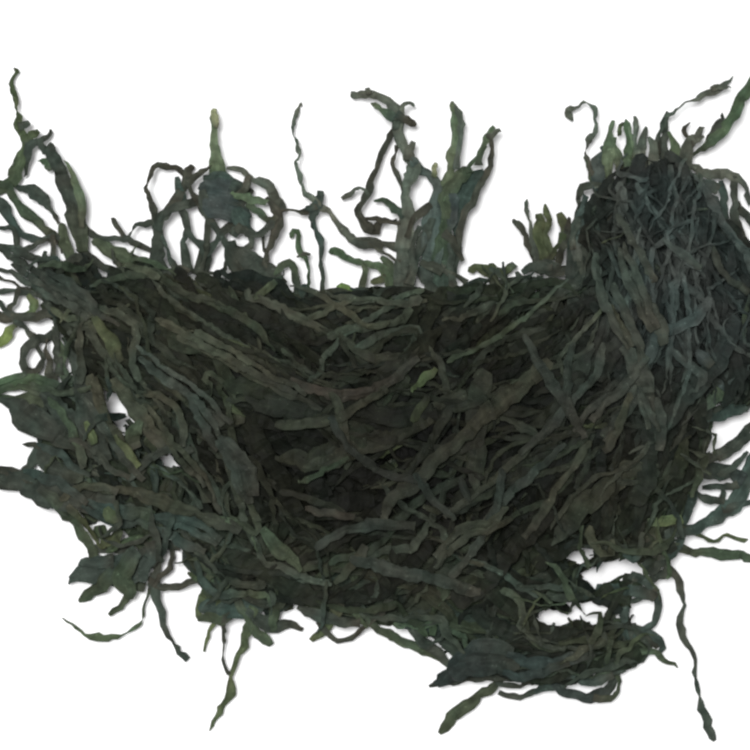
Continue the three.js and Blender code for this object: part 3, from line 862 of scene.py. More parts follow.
# The single strips past the heap's edge, the lowest first, each from its loose end inwards.
STRAYS: tuple[Stray, ...] = (
    # the north west corner, round to the west side
    Stray("north west whip", Tone.SAGE, 7, ((-144.4, 134.4, 1.2), (-143.2, 132.4, 2),
        (-144, 130.4, 1.2), (-145.2, 128, 2), (-145.2, 125.2, 2.4), (-144.4, 122.4, 2.4),
        (-143.6, 119.6, 2), (-143.2, 117.2, 1), (-142.4, 114.4, 2.8), (-142, 111.6, 4),
        (-141.6, 108.8, 4.4), (-140.4, 105.6, 3.6), (-140.4, 102.4, 4), (-141.2, 99.2, 4.8),
        (-142.4, 96, 5.6), (-143.6, 92.8, 6), (-144, 89.6, 5.6), (-146.4, 87.2, 5.2), (-149.2, 85.6, 4),
        (-152, 84.4, 3.2)), root=Tone.MOSS),
    Stray("north west cap", Tone.SLATE, 8, ((-137.6, 111.6, 1.2), (-139.6, 111.6, 2.8),
        (-142, 110.4, 3.6))),
    Stray("north west patch", Tone.SAGE, 8, ((-134, 108.8, 2.8), (-136, 107.6, 4), (-138.4, 106, 3.6),
        (-140, 103.6, 2.4))),
    Stray("north west hook", Tone.SLATE, 8, ((-130, 109.2, 1.6), (-130.4, 107.2, 2.4),
        (-133.2, 105.6, 2.4), (-135.6, 104.4, 2.8), (-138, 102.4, 3.2), (-139.2, 99.2, 3.2),
        (-139.6, 96, 2.4), (-139.6, 92.8, 1.6), (-139.6, 90.8, 0.8))),
    Stray("north west crook", Tone.SLATE, 8, ((-133.6, 106, 2.4), (-133.2, 102.8, 2.8),
        (-131.6, 100.4, 3.6), (-130.4, 98, 2))),
    Stray("north west leaflet", Tone.LEAF, 8, ((-134.8, 96.4, 0.8), (-132.4, 96.8, 3.6),
        (-130.4, 96, 4.8), (-128.8, 92.8, 3.2))),
    Stray("north west rung", Tone.SLATE, 7, ((-144, 86.8, 2), (-140.4, 86, 2.8), (-137.2, 84.8, 4.8),
        (-134, 82.4, 5.6), (-131.2, 80, 4.4), (-129.6, 77.2, 2), (-128, 74.4, 1.6),
        (-126.4, 71.6, 1.2))),
    Stray("north west rail", Tone.MOSS, 7, ((-152.4, 87.6, 3.2), (-148.4, 87.2, 3.2), (-146, 86, 2.8),
        (-144.8, 82.8, 2.8), (-142.4, 78.8, 4.8), (-138.4, 75.2, 5.6), (-134.4, 71.6, 4),
        (-130.4, 68.4, 3.2), (-126.8, 65.2, 3.2), (-123.6, 60.4, 3.2)), root=Tone.UMBER),
    Stray("north west fall", Tone.TEAL, 6, ((-152.4, 82, 3.6), (-148.8, 79.2, 5.2), (-146.4, 74.8, 3.6),
        (-144, 70.8, 3.6), (-140.8, 67.6, 4), (-136.8, 65.2, 3.2), (-132.8, 65.2, 2.4),
        (-128.4, 66.8, 2.4), (-124.4, 65.2, 3.2)), root=Tone.SLATE),
    Stray("north west ledge", Tone.SLATE, 6, ((-152.4, 70.8, 2), (-148, 70.4, 2), (-144.8, 69.6, 2),
        (-143.2, 66.4, 2), (-142.8, 62.8, 2.4))),
    Stray("north west line", Tone.SLATE, 6, ((-152.4, 62.8, 3.6), (-146.8, 62, 3.2), (-142, 61.6, 2.8),
        (-136.4, 62.8, 2.4), (-131.2, 65.2, 2), (-126.8, 64, 2.4))),
    Stray("north west column", Tone.MOSS, 7, ((-126, 72.4, 2.4), (-124.4, 68.4, 4), (-123.6, 64, 4.8),
        (-122.4, 60, 4), (-121.6, 55.6, 2.8), (-120.8, 50.4, 3.2),
        (-118.8, 44.4, 3.2)), root=Tone.UMBER),
    Stray("north west left post", Tone.UMBER, 7, ((-129.2, 66.8, 2), (-128.4, 61.2, 2),
        (-129.2, 56.4, 2.4), (-129.2, 52, 2.4), (-126.8, 47.2, 3.2))),
    Stray("north west brow", Tone.SLATE, 8, ((-117.2, 73.2, 2.8), (-114.8, 68.8, 2.8), (-111.2, 66, 2),
        (-106.4, 66, 2), (-102, 66, 2.4), (-98.8, 65.6, 2.8), (-95.2, 63.6, 2.4), (-91.2, 61.6, 2.4),
        (-86.8, 58.8, 3.2))),
    Stray("north west tip", Tone.UMBER, 8, ((-105.6, 73.6, 1.2), (-104, 72, 2.8), (-102.4, 69.2, 1.6),
        (-100.4, 66.8, 2))),
    Stray("north west twig", Tone.SLATE, 8, ((-98.8, 66, 2), (-97.2, 68.8, 1.2), (-95.2, 71.2, 2.4),
        (-91.6, 71.6, 2.8), (-87.6, 72.8, 3.2))),
    Stray("north west olive blade", Tone.MOSS, 8, ((-113.2, 65.2, 2.4), (-108.4, 62.4, 5.2),
        (-103.2, 59.6, 6.8), (-97.2, 57.2, 6), (-91.6, 54.8, 4.4), (-86, 51.6, 4)), root=Tone.UMBER),
    Stray("north west under blade", Tone.SLATE, 7, ((-118.8, 62.4, 3.2), (-114.8, 58.4, 3.2),
        (-110.4, 55.6, 3.2), (-106, 53.2, 3.2), (-101.2, 51.2, 3.2), (-95.6, 49.2, 3.2))),
    Stray("north west step", Tone.UMBER, 7, ((-122, 56.4, 4.8), (-118.4, 52.4, 4.8), (-114.8, 48.8, 4),
        (-111.2, 45.2, 3.6), (-107.2, 42, 3.6), (-102, 38.8, 3.2))),
    Stray("west net top", Tone.SLATE, 6, ((-152.4, 53.6, 2), (-147.6, 52.8, 2), (-143.6, 51.6, 2),
        (-140.8, 49.6, 2), (-137.6, 47.6, 2), (-133.6, 45.2, 2.4), (-128.4, 42, 2.4))),
    Stray("west net line", Tone.UMBER, 6, ((-152.4, 50.4, 1.2), (-148.4, 49.6, 1.2), (-144.8, 48, 1.2),
        (-141.2, 46, 1.6), (-137.2, 44.8, 1.6))),
    Stray("west net bar", Tone.SLATE, 6, ((-152.4, 44.4, 2.4), (-146.8, 44.4, 2.4), (-142, 44.8, 2),
        (-136.8, 43.6, 2.4), (-131.6, 43.2, 2.4), (-126, 42, 3.2))),
    Stray("west net tie", Tone.UMBER, 6, ((-142.8, 46.4, 2), (-144, 42.4, 2), (-145.6, 38.8, 2),
        (-146.8, 35.6, 2.4))),
    Stray("west net blade", Tone.OLIVE, 6, ((-139.2, 42.8, 2.4), (-136.8, 40.4, 3.6),
        (-136.8, 37.6, 3.2), (-139.2, 35.2, 2.4), (-142.8, 34, 2.4)), root=Tone.SAGE),
    Stray("west net slant", Tone.SLATE, 6, ((-152.4, 41.6, 2), (-148.8, 38.4, 2.4), (-145.6, 35.6, 2.4),
        (-141.6, 33.6, 2.4))),
    Stray("west upper cross", Tone.UMBER, 7, ((-152.4, 34.4, 3.6), (-146, 34, 4), (-139.6, 34.4, 4),
        (-133.6, 35.6, 5.2), (-127.6, 37.2, 6), (-120.4, 38.8, 6.4), (-112, 38, 5.6))),
    Stray("west lime strip", Tone.LIME, 4, ((-152.4, 22.4, 2.8), (-148.8, 25.6, 4.4), (-146, 28.8, 3.6),
        (-143.2, 31.6, 2))),
    Stray("west slope", Tone.SLATE, 6, ((-144.4, 32.8, 2.4), (-141.2, 30.8, 2.4), (-138.4, 28, 2.4),
        (-135.6, 25.6, 2.8))),
    Stray("west loop", Tone.SLATE, 7, ((-126.8, 28.8, 3.2), (-131.2, 26.4, 3.6), (-135.6, 25.2, 4.4),
        (-138.8, 22.8, 4), (-140.4, 19.2, 4), (-140.8, 15.6, 3.6), (-138.8, 12.4, 3.6),
        (-134, 10.8, 4))),
    Stray("west loop tie", Tone.SLATE, 7, ((-136.4, 23.6, 2), (-134, 20.8, 2), (-132.8, 18, 2.4),
        (-134, 14.8, 2.8), (-136.4, 12.4, 3.2))),
    Stray("west inner post", Tone.UMBER, 7, ((-131.6, 25.6, 2), (-131.6, 21.2, 1.6),
        (-130.4, 16.8, 2.4), (-130, 12, 3.6), (-128.4, 6, 4.8))),
    Stray("west outer post", Tone.MOSS, 7, ((-128.4, 30.4, 2), (-127.2, 26, 2), (-125.2, 22.8, 2.8),
        (-124.8, 18.8, 3.2), (-125.2, 14.8, 3.2), (-123.6, 10, 4.4),
        (-122, 4.4, 5.6)), root=Tone.SLATE),
    Stray("west back post", Tone.SLATE, 7, ((-122.8, 28.4, 5.6), (-121.2, 22.8, 5.6),
        (-119.6, 17.2, 4.8), (-118, 11.6, 5.6), (-116.4, 5.2, 5.6))),
    Stray("west frond", Tone.LEAF, 4, ((-152.4, 5.6, 3.2), (-148.4, 6.4, 3.6), (-144.4, 8, 3.6),
        (-140.4, 9.6, 4), (-136, 9.2, 4.8), (-130.8, 7.6, 5.2), (-125.2, 5.2, 4.8)), root=Tone.SLATE),
    Stray("west low frond", Tone.MOSS, 4, ((-152.4, 2.4, 2.4), (-147.6, 1.6, 4.4), (-142.8, 1.2, 5.2),
        (-137.6, 1.6, 5.6), (-132, 0.8, 5.6), (-126, -0.4, 5.6)), root=Tone.SLATE),
    Stray("west stub", Tone.UMBER, 4, ((-141.2, -16, 1.2), (-136.4, -16.8, 2), (-131.6, -18.8, 2.8),
        (-126, -21.2, 3.2))),
    Stray("west ragged tip", Tone.MOSS, 5, ((-106.4, -84.4, 2.4), (-102.4, -81.2, 2.8),
        (-98.4, -77.2, 3.2), (-96.8, -72.8, 3.2), (-96.4, -66.8, 3.2))),
    Stray("west leg", Tone.SLATE, 6, ((-74.8, -102.8, 2.8), (-78, -99.2, 2.8), (-81.2, -94.8, 1.6),
        (-83.6, -90.8, 2.4), (-85.2, -86, 3.2), (-86.8, -80.4, 3.6), (-88, -74.8, 4), (-87.6, -68.4, 4),
        (-86.8, -61.2, 4), (-86, -54.8, 3.2))),
    Stray("west strut", Tone.UMBER, 6, ((-90.8, -70, 2.4), (-86, -73.6, 2.8), (-78.8, -73.2, 2.4),
        (-72.4, -71.2, 2.4), (-66.4, -68.8, 2.8), (-58.8, -65.2, 3.2))),
    Stray("west tie", Tone.UMBER, 5, ((-88.8, -73.2, 2.4), (-85.6, -69.6, 2.4), (-82.4, -66, 2.4),
        (-81.2, -62, 2), (-81.2, -56.8, 2.4))),
    Stray("west v strip", Tone.LEAF, 3, ((-124.8, -86.4, 0.8), (-120.8, -88.8, 1.2), (-116, -92, 1.6),
        (-111.2, -93.6, 3.2), (-106.8, -94, 2.4), (-101.6, -92.4, 1.2), (-96.8, -90.8, 1.2),
        (-93.6, -88.4, 1.6), (-92.4, -84.8, 0.8), (-92, -79.6, 0.8), (-90, -74, 1.2))),
    # the south side
    Stray("south west green strip", Tone.MOSS, 5, ((-65.6, -86.4, 2), (-66, -80.4, 2.8),
        (-66.4, -73.2, 3.2), (-65.2, -66, 3.2), (-62.8, -58, 3.2))),
    Stray("south west olive patch", Tone.SAGE, 4, ((-70.4, -87.2, 2.4), (-70.4, -82.4, 3.2),
        (-68.8, -77.6, 3.2), (-66.8, -72.4, 2.8), (-64.4, -66.8, 2.8))),
    Stray("south west hem", Tone.TEAL, 4, ((-70.8, -82.8, 3.2), (-67.2, -81.6, 6.4), (-62, -81.6, 8.8),
        (-55.6, -82, 9.6), (-49.2, -81.6, 8), (-44.4, -78, 5.6), (-42, -70.8, 4.8)), root=Tone.SLATE),
    Stray("south west thread", Tone.OLIVE, 4, ((-68.4, -98.8, 1.2), (-67.6, -94.8, 1.6),
        (-65.2, -89.6, 2), (-62.4, -81.2, 2.4), (-58.8, -74.8, 2.4))),
    Stray("south west whip", Tone.SAGE, 4, ((-66, -131.6, 1.2), (-63.6, -125.6, 2), (-60.8, -120.4, 2),
        (-58, -116, 3.6), (-58, -110, 2), (-56, -104.4, 2.4), (-53.2, -98.8, 3.2), (-51.6, -93.2, 3.6),
        (-50, -87.6, 4), (-47.6, -78, 4)), root=Tone.MOSS),
    Stray("south west side thread", Tone.UMBER, 4, ((-58.4, -109.2, 1.2), (-60, -104.4, 1.2),
        (-60.8, -98.8, 1.2), (-60.8, -92.4, 1.6), (-59.6, -85.2, 2))),
    Stray("south west leaf", Tone.MOSS, 4, ((-41.6, -96.8, 3.2), (-44.8, -93.6, 4.4),
        (-48.4, -89.6, 4.4), (-52, -84.4, 3.6), (-55.6, -78, 3.2))),
    Stray("south jag", Tone.SLATE, 3, ((-51.6, -82.8, 3.2), (-47.2, -86, 4.8), (-42.4, -88.8, 5.6),
        (-38, -88.8, 4.8), (-34, -88.4, 3.6), (-28.8, -90.4, 1.6))),
    Stray("south jag tooth", Tone.MOSS, 3, ((-40.8, -92, 1.6), (-40.8, -88.4, 3.6), (-39.6, -82.8, 4.8),
        (-38, -77.2, 5.6))),
    Stray("south stub", Tone.SAGE, 3, ((-25.6, -94.8, 2.8), (-22.4, -92, 4), (-18.4, -88.4, 4),
        (-13.2, -80.4, 4))),
    Stray("south small loop", Tone.UMBER, 3, ((-23.6, -87.2, 2.4), (-19.6, -91.6, 2), (-14.4, -94.8, 2),
        (-9.6, -94, 2), (-4.8, -89.6, 2.4), (0.4, -85.6, 3.2), (6.8, -78, 3.2))),
    Stray("south west rail", Tone.MOSS, 3, ((28.4, -104, 2.4), (24.8, -101.2, 3.6), (19.6, -98.4, 3.6),
        (14, -96.8, 3.6), (8.4, -94.4, 3.6), (3.2, -91.6, 3.6), (-1.6, -87.6, 3.2),
        (-6.8, -79.6, 3.2)), root=Tone.SLATE),
    Stray("south low rail", Tone.SLATE, 3, ((30, -104.8, 3.2), (26, -101.2, 4), (21.2, -97.2, 4),
        (16.4, -92.8, 3.6), (12.4, -85.6, 3.2))),
    Stray("south fringe one", Tone.MOSS, 3, ((-2.8, -90, 1.6), (-6, -86.8, 2.4), (-9.2, -82, 2.8),
        (-10.8, -75.6, 3.2))),
    Stray("south green blade", Tone.MOSS, 4, ((26, -132, 2.4), (29.6, -128, 4.4), (32.8, -124, 4.8),
        (36.8, -120.8, 4.8), (40, -118.4, 4.4), (43.6, -115.6, 4), (48.4, -112.8, 3.6),
        (54.8, -107.2, 3.2))),
    Stray("south fold edge", Tone.SLATE, 4, ((22, -113.2, 1.6), (26, -112, 2.8), (30.8, -112, 2.8),
        (36.4, -109.6, 3.2), (42.8, -109.6, 3.2), (49.2, -110, 3.2), (54.8, -107.6, 3.2))),
    Stray("south swag", Tone.SLATE, 4, ((49.2, -114.8, 2.4), (53.2, -117.2, 2), (58, -117.6, 2),
        (63.6, -115.6, 2), (68.8, -113.6, 2), (72.8, -111.6, 2.4), (78, -107.6, 3.2))),
    Stray("south teal strip", Tone.TEAL, 4, ((63.6, -116, 2.8), (68.4, -113.6, 4.4),
        (73.6, -111.6, 4.8), (78.8, -108.4, 4), (83.6, -103.6, 4))),
    Stray("south bowl", Tone.NIGHT, 4, ((70.8, -110.4, 2.8), (74, -114.8, 3.6), (79.6, -116.8, 4.4),
        (86, -117.6, 4.8), (91.2, -116, 4.4), (94.4, -112.8, 3.6),
        (96.4, -107.6, 3.2)), root=Tone.SLATE),
    Stray("south loop", Tone.MOSS, 5, ((96, -107.2, 2), (97.6, -111.2, 1.6), (97.6, -114.8, 1.6),
        (95.2, -117.6, 2), (91.6, -118.8, 2.4), (87.6, -117.6, 2.8))),
    Stray("south east outline", Tone.SLATE, 5, ((89.2, -107.2, 3.2), (94.8, -107.2, 3.6),
        (100.4, -105.2, 3.6), (104.8, -103.2, 3.6), (108.4, -100.4, 3.2), (109.6, -96, 2.8))),
    Stray("south east knot", Tone.SLATE, 6, ((94, -92.4, 3.2), (99.2, -93.6, 4.8), (104.8, -92, 4.8),
        (110, -94, 4.4), (113.2, -97.6, 2.4))),
    Stray("south east hook", Tone.TEAL, 6, ((112.8, -100.4, 1.6), (114.8, -98, 2.4),
        (113.6, -95.2, 2.8), (110.4, -92.8, 2.8), (105.2, -90, 2.8), (98.8, -87.6, 3.2))),
    Stray("south east tip", Tone.MOSS, 5, ((120.8, -106, 1.2), (117.6, -104, 2), (114, -101.2, 2.4),
        (110, -99.6, 2.8), (104.4, -99.2, 3.6), (98, -98, 3.6))),
    Stray("south east right hook", Tone.TEAL, 6, ((103.6, -94, 3.2), (108, -91.2, 3.2),
        (111.2, -88, 3.2), (112.8, -83.2, 3.2), (113.2, -78.4, 3.2), (111.2, -74.4, 3.2),
        (107.6, -71.2, 3.6), (102, -68.4, 4)), root=Tone.SLATE),
    Stray("south east left side", Tone.TEAL, 6, ((101.2, -94.8, 3.2), (99.6, -88.4, 3.2),
        (99.6, -82, 3.2), (101.6, -76.4, 3.2), (104.4, -70, 3.2))),
    Stray("south east cross", Tone.SLATE, 6, ((98, -81.2, 2.4), (103.6, -78.8, 2), (109.2, -76.4, 2),
        (113.2, -74, 2.4))),
    Stray("south east whip", Tone.SLATE, 5, ((135.6, -135.2, 2), (134, -131.6, 2.8),
        (132.4, -126.8, 3.6), (130.8, -122, 3.2), (129.6, -117.2, 1.6), (128.8, -112.4, 1.6),
        (128, -107.6, 1.6), (127.6, -102.8, 2), (126.4, -98, 2.4), (123.2, -94, 3.2), (122, -90.8, 3.2),
        (122.4, -86, 2.4), (123.6, -81.2, 1.6), (123.2, -76.8, 2.4), (121.6, -72, 3.6),
        (119.2, -67.6, 3.6), (116, -64, 3.6), (110, -58.8, 3.6))),
    Stray("south east rod", Tone.MOSS, 3, ((155.6, -61.6, 3.2), (148.4, -61.2, 3.6), (141.2, -60.8, 4),
        (134.8, -60, 4), (128.4, -59.2, 3.6), (122, -58, 3.6), (115.6, -56, 3.6), (108.4, -53.6, 3.6))),
    Stray("south east foot", Tone.TEAL, 4, ((116.4, -62.4, 3.2), (119.2, -60.4, 3.6),
        (121.2, -56.8, 3.2), (122.4, -51.6, 3.2), (123.6, -46, 3.2),
        (125.2, -40.4, 3.2)), root=Tone.SLATE),
    # the east side
    Stray("east thread", Tone.SAGE, 3, ((149.2, -54.4, 1.2), (146, -55.2, 2), (142.4, -53.6, 1.6),
        (138.8, -53.2, 1.6), (135.6, -55.2, 1.6), (131.6, -53.6, 2), (127.6, -52, 2), (122.8, -50, 2.4),
        (116.4, -46.8, 3.2))),
    Stray("east hoop", Tone.TEAL, 6, ((150.8, -19.6, 2.8), (150, -24.4, 3.6), (148.4, -30, 4.8),
        (145.6, -36.4, 7.2), (141.6, -42, 6.8), (135.6, -46, 5.6), (129.2, -49.2, 4.4),
        (123.6, -51.2, 4), (115.6, -52.4, 4)), root=Tone.SLATE),
    Stray("east hoop spur", Tone.TEAL, 6, ((151.6, -39.6, 1.6), (147.6, -40.4, 2.4),
        (143.6, -41.2, 3.2), (138.8, -42.8, 3.2))),
    Stray("east small arc", Tone.SLATE, 6, ((126, -34, 2), (130, -36.8, 2.4), (134.4, -38.8, 2.8),
        (139.6, -39.6, 2.4))),
    Stray("east inner post", Tone.TEAL, 6, ((123.6, -48.4, 3.6), (125.2, -43.6, 3.2),
        (126.4, -38.8, 3.2), (127.6, -34.4, 3.6), (129.2, -28.4, 3.6))),
    Stray("east olive leaf", Tone.OLIVE, 6, ((123.2, -47.6, 2.4), (118.8, -46.8, 4),
        (114.4, -46.8, 4.4), (109.2, -48.4, 3.6)), root=Tone.MOSS),
    Stray("east slat", Tone.SLATE, 7, ((152.8, -6.4, 3.2), (149.2, -10.4, 3.6), (145.2, -14.8, 3.6),
        (140.8, -18.4, 3.6), (135.6, -21.2, 4), (128.4, -23.6, 4.8))),
    Stray("east teal leaf", Tone.TEAL, 7, ((150, 0.4, 2.4), (145.6, -2.4, 4.4), (140.4, -3.6, 6),
        (134.8, -5.2, 6), (128.4, -8.4, 4.8)), root=Tone.SLATE),
    Stray("east thin slat", Tone.SLATE, 8, ((152.8, 7.2, 2), (148.4, 4, 2.4), (143.6, 1.2, 2.4),
        (138.8, -1.2, 2.8), (132.4, -3.6, 3.2))),
    Stray("east green leaf", Tone.MOSS, 7, ((146, 14.8, 2.4), (142.4, 10.8, 4.8), (138.8, 6.8, 6.4),
        (135.2, 2.4, 5.6), (130.8, -2, 4)), root=Tone.SLATE),
    Stray("east far strip", Tone.SLATE, 7, ((154, 29.2, 4.8), (149.2, 23.6, 5.6), (146.8, 18, 5.2),
        (142.8, 13.2, 4.8), (138, 6, 4.8)), root=Tone.SEA),
    Stray("east low leaf", Tone.SLATE, 7, ((126, -26.8, 4), (130.8, -27.6, 7.2), (136.4, -27.6, 8.4),
        (142.4, -28, 7.2), (148, -30.4, 4.8)), root=Tone.SEA),
    Stray("east low twig", Tone.SLATE, 7, ((149.2, -19.6, 2.4), (145.2, -23.6, 2.8),
        (141.2, -26.8, 3.2), (136.4, -30.8, 3.2))),
    Stray("east pale rung", Tone.SAGE, 8, ((154, 56.4, 2.8), (149.2, 59.6, 3.2), (144.8, 62.4, 3.6),
        (139.6, 66, 3.6))),
    Stray("east rung", Tone.SLATE, 8, ((154.8, 68.4, 4), (150, 72.4, 3.2), (146.8, 76.4, 3.2),
        (144.4, 79.6, 3.2))),
    Stray("east corner", Tone.MIST, 11, ((126.8, 94.8, 2.8), (132, 92, 4.4), (138, 91.2, 4.4),
        (142.8, 90.8, 4), (146.4, 89.2, 3.6), (148.8, 85.2, 3.2), (150.8, 79.6, 3.2)), root=Tone.HAZE),
    Stray("east drop", Tone.SLATE, 10, ((144, 90.8, 2.8), (143.6, 85.2, 3.2), (143.6, 79.6, 3.2),
        (144, 73.2, 3.6), (146, 67.6, 4), (150, 61.2, 4))),
    Stray("east green drop", Tone.TEAL, 10, ((138.4, 88.4, 2.8), (139.2, 82, 3.2), (139.6, 75.6, 3.6),
        (141.2, 68.4, 3.6))),
    # the horn
    Stray("horn blade", Tone.LEAF, 12, ((153.2, 132.4, 3.6), (150.8, 128, 4), (147.6, 122.4, 4.4),
        (144.8, 117.6, 4.4), (142, 113.2, 4.8), (138.8, 109.2, 5.2), (136, 105.6, 4.4),
        (132.8, 102.8, 3.2), (129.6, 101.2, 2), (126.4, 98.8, 1.6),
        (123.2, 94.8, 2.4)), root=Tone.SLATE),
    Stray("horn blade tip", Tone.SLATE, 12, ((138.8, 116.4, 0.8), (138.8, 113.6, 2.8),
        (137.2, 111.2, 3.6), (135.2, 108, 3.2), (133.2, 104.4, 2.4))),
    Stray("horn whip", Tone.MIST, 9, ((143.2, 130.8, 0.8), (140.8, 127.6, 2.4), (138, 126, 2.8),
        (134.8, 124.8, 2.8), (131.6, 123.2, 3.2), (128.8, 121.2, 2.8), (126, 120.4, 1.2),
        (123.2, 119.2, 0.8), (120.4, 117.2, 1.2), (118.4, 116, 1.6), (116.8, 114, 2), (116, 110.4, 2.8),
        (115.6, 106.4, 4), (114.4, 102.4, 5.6), (114, 97.2, 6.4)), root=Tone.SLATE),
    Stray("horn whip tine", Tone.MIST, 9, ((142, 126, 1.2), (140, 126.8, 2.4), (137.2, 126.4, 2.8),
        (134, 125.2, 2.4))),
    Stray("horn whip shadow", Tone.SLATE, 9, ((116.8, 116.8, 0.8), (115.2, 114, 1.6), (114.4, 109.2, 2),
        (113.2, 104.4, 2.8), (112.4, 98.8, 3.6))),
    Stray("horn green slope", Tone.LEAF, 8, ((117.6, 108.4, 1.2), (118.8, 104.4, 3.2),
        (120, 100.8, 5.6), (118.4, 96.4, 5.6)), root=Tone.MOSS),
    Stray("horn spot", Tone.UMBER, 9, ((125.2, 112.4, 0.8), (124, 110, 2), (124.4, 107.6, 1.6),
        (125.6, 104.4, 0.8), (125.2, 100.4, 1.6))),
    Stray("horn fork", Tone.MIST, 11, ((131.2, 110.4, 1.6), (129.6, 108.8, 2.8), (128.8, 106.4, 3.6),
        (126.8, 104.8, 4.4), (125.2, 102, 5.2), (124.4, 98, 6), (123.6, 93.2, 6.4)), root=Tone.SLATE),
    Stray("horn prong", Tone.MIST, 10, ((131.6, 106.8, 1.6), (129.2, 105.6, 2.4), (126.8, 104, 2.8))),
    Stray("horn post one", Tone.FERN, 12, ((94.4, 112.4, 2.4), (94.4, 108.4, 2.8), (93.6, 104, 3.6),
        (93.2, 99.2, 4.4), (93.6, 94, 4), (94.4, 87.6, 3.6)), root=Tone.MOSS),
    Stray("horn post side", Tone.FERN, 9, ((96, 106, 1.2), (95.6, 102, 3.2), (97.2, 98, 4.8),
        (98, 93.2, 4.8))),
    Stray("horn hook", Tone.SAGE, 10, ((96.4, 106.8, 0.8), (98, 108.8, 1.6), (98.4, 110.8, 1.6),
        (100.4, 111.6, 2))),
    Stray("horn post two", Tone.LEAF, 12, ((100.4, 113.2, 1.2), (100.8, 110, 3.6), (101.2, 105.2, 4),
        (101.2, 100.4, 4), (101.6, 94.8, 4.4), (102, 88.4, 4.4)), root=Tone.TEAL),
    Stray("horn post edge", Tone.FERN, 12, ((102, 110.8, 1.2), (102.8, 106, 2), (103.2, 100.4, 2),
        (103.2, 95.6, 2))),
    Stray("horn post three", Tone.MIST, 12, ((103.6, 115.2, 1.6), (104, 111.6, 2.4), (104.4, 107.6, 2),
        (104, 102, 1.6), (104, 96.4, 1.6)), root=Tone.MOSS),
    Stray("horn post four", Tone.MIST, 11, ((108, 110, 1.6), (108, 107.2, 3.6), (106.8, 102.8, 4.8),
        (106.4, 98.4, 4.8), (106.4, 92.4, 4.8), (107.2, 85.2, 4.8)), root=Tone.SEA),
    Stray("horn post five", Tone.MIST, 10, ((110, 106.4, 1.6), (111.2, 103.2, 3.6), (111.2, 98, 4.4),
        (112, 92, 5.2), (113.2, 85.2, 5.2)), root=Tone.SEA),
    Stray("horn pale spot", Tone.FERN, 7, ((107.2, 94.4, 1.6), (107.2, 91.2, 3.6), (109.2, 87.6, 2))),
    Stray("horn west spike", Tone.MOSS, 10, ((84, 99.2, 1.2), (85.2, 96.4, 2), (86.8, 92.8, 2.8),
        (88, 88.4, 3.6), (90, 82, 4)), root=Tone.SLATE),
    Stray("horn brow", Tone.HAZE, 10, ((90.4, 102.8, 1.2), (91.2, 100.4, 3.6), (89.6, 96.8, 6),
        (88.8, 92, 6), (90, 85.2, 5.6)), root=Tone.SEA),
    Stray("horn west step", Tone.SLATE, 8, ((81.2, 78.8, 1.2), (81.6, 82.8, 2.4), (83.2, 85.6, 3.2),
        (86.8, 86.8, 3.2), (91.6, 87.6, 3.2))),
    Stray("horn curl", Tone.MIST, 8, ((79.2, 112.4, 1.6), (77.2, 115.2, 3.6), (77.2, 117.2, 3.2),
        (80, 118.4, 2.4), (82.8, 119.6, 1.6), (85.2, 120, 1.2), (86.8, 118.4, 2), (87.6, 116, 2),
        (88, 113.6, 1.2), (88.8, 111.2, 1.6), (88, 109.2, 2), (86.4, 107.2, 2.4), (85.2, 104.8, 2.8),
        (84.8, 102.4, 0.8), (84.4, 99.6, 1.2), (85.2, 96, 1.6), (88, 91.2, 2.4)), root=Tone.UMBER),
    # the notch
    Stray("notch west tip", Tone.UMBER, 8, ((55.2, 73.6, 1.6), (56.8, 71.2, 2.8), (58.8, 69.6, 2.4),
        (60, 66.8, 2), (60.8, 63.6, 2.4), (63.2, 60.4, 4), (66, 54.8, 4.8))),
    Stray("notch needle", Tone.MIST, 9, ((60.8, 82, 1.2), (60.8, 78.8, 1.6), (61.2, 75.6, 2),
        (61.6, 73.2, 0.8), (62, 70.8, 1.6), (62.4, 66.8, 2.4), (63.2, 62, 3.2),
        (65.2, 56.4, 4)), root=Tone.SLATE),
    Stray("notch middle tip", Tone.SAGE, 10, ((65.2, 75.6, 3.6), (66, 72.4, 4.8), (65.6, 68.4, 5.6),
        (66.4, 64, 5.2), (67.6, 58.8, 5.6), (69.2, 52.4, 6.4)), root=Tone.MOSS),
    Stray("notch thin tip", Tone.SAGE, 9, ((68.4, 79.2, 1.2), (68.8, 75.6, 2.4), (68.8, 71.6, 2),
        (68.4, 67.6, 2), (69.2, 63.2, 3.2), (70.8, 57.2, 3.6)), root=Tone.MOSS),
    Stray("notch east tip", Tone.SAGE, 10, ((73.6, 75.6, 3.6), (75.6, 72.8, 4), (75.6, 68.8, 3.2),
        (74.8, 65.2, 2.8), (72.4, 62, 2.4), (70, 58.8, 2.4), (68.4, 54.8, 3.2)), root=Tone.UMBER),
    Stray("notch east twin", Tone.UMBER, 9, ((77.6, 74.4, 2.4), (77.2, 69.6, 2.8), (76, 64.4, 3.2),
        (74.4, 59.6, 3.2), (73.2, 54, 3.2))),
    Stray("notch base", Tone.SLATE, 7, ((62.8, 56.4, 4), (66.8, 54, 6.4), (72.4, 52.4, 7.2),
        (77.2, 53.2, 5.6))),
    Stray("notch rim one", Tone.SAGE, 6, ((38, 52.4, 2.8), (40.4, 54.4, 3.6), (44.4, 53.2, 4),
        (48.8, 52.4, 4), (53.2, 50.8, 4)), root=Tone.SLATE),
    Stray("notch rim two", Tone.SAGE, 6, ((46.4, 56, 2.4), (46.8, 52.8, 4),
        (47.6, 47.6, 4.8)), root=Tone.SLATE),
    Stray("notch rim three", Tone.SAGE, 6, ((50, 51.6, 3.6), (53.2, 53.6, 3.6),
        (56, 56, 2.8)), root=Tone.SLATE),
    Stray("notch rim four", Tone.SLATE, 6, ((56.8, 52.4, 2.4), (58.8, 49.2, 3.2), (61.2, 44.4, 3.2))),
    # the nest
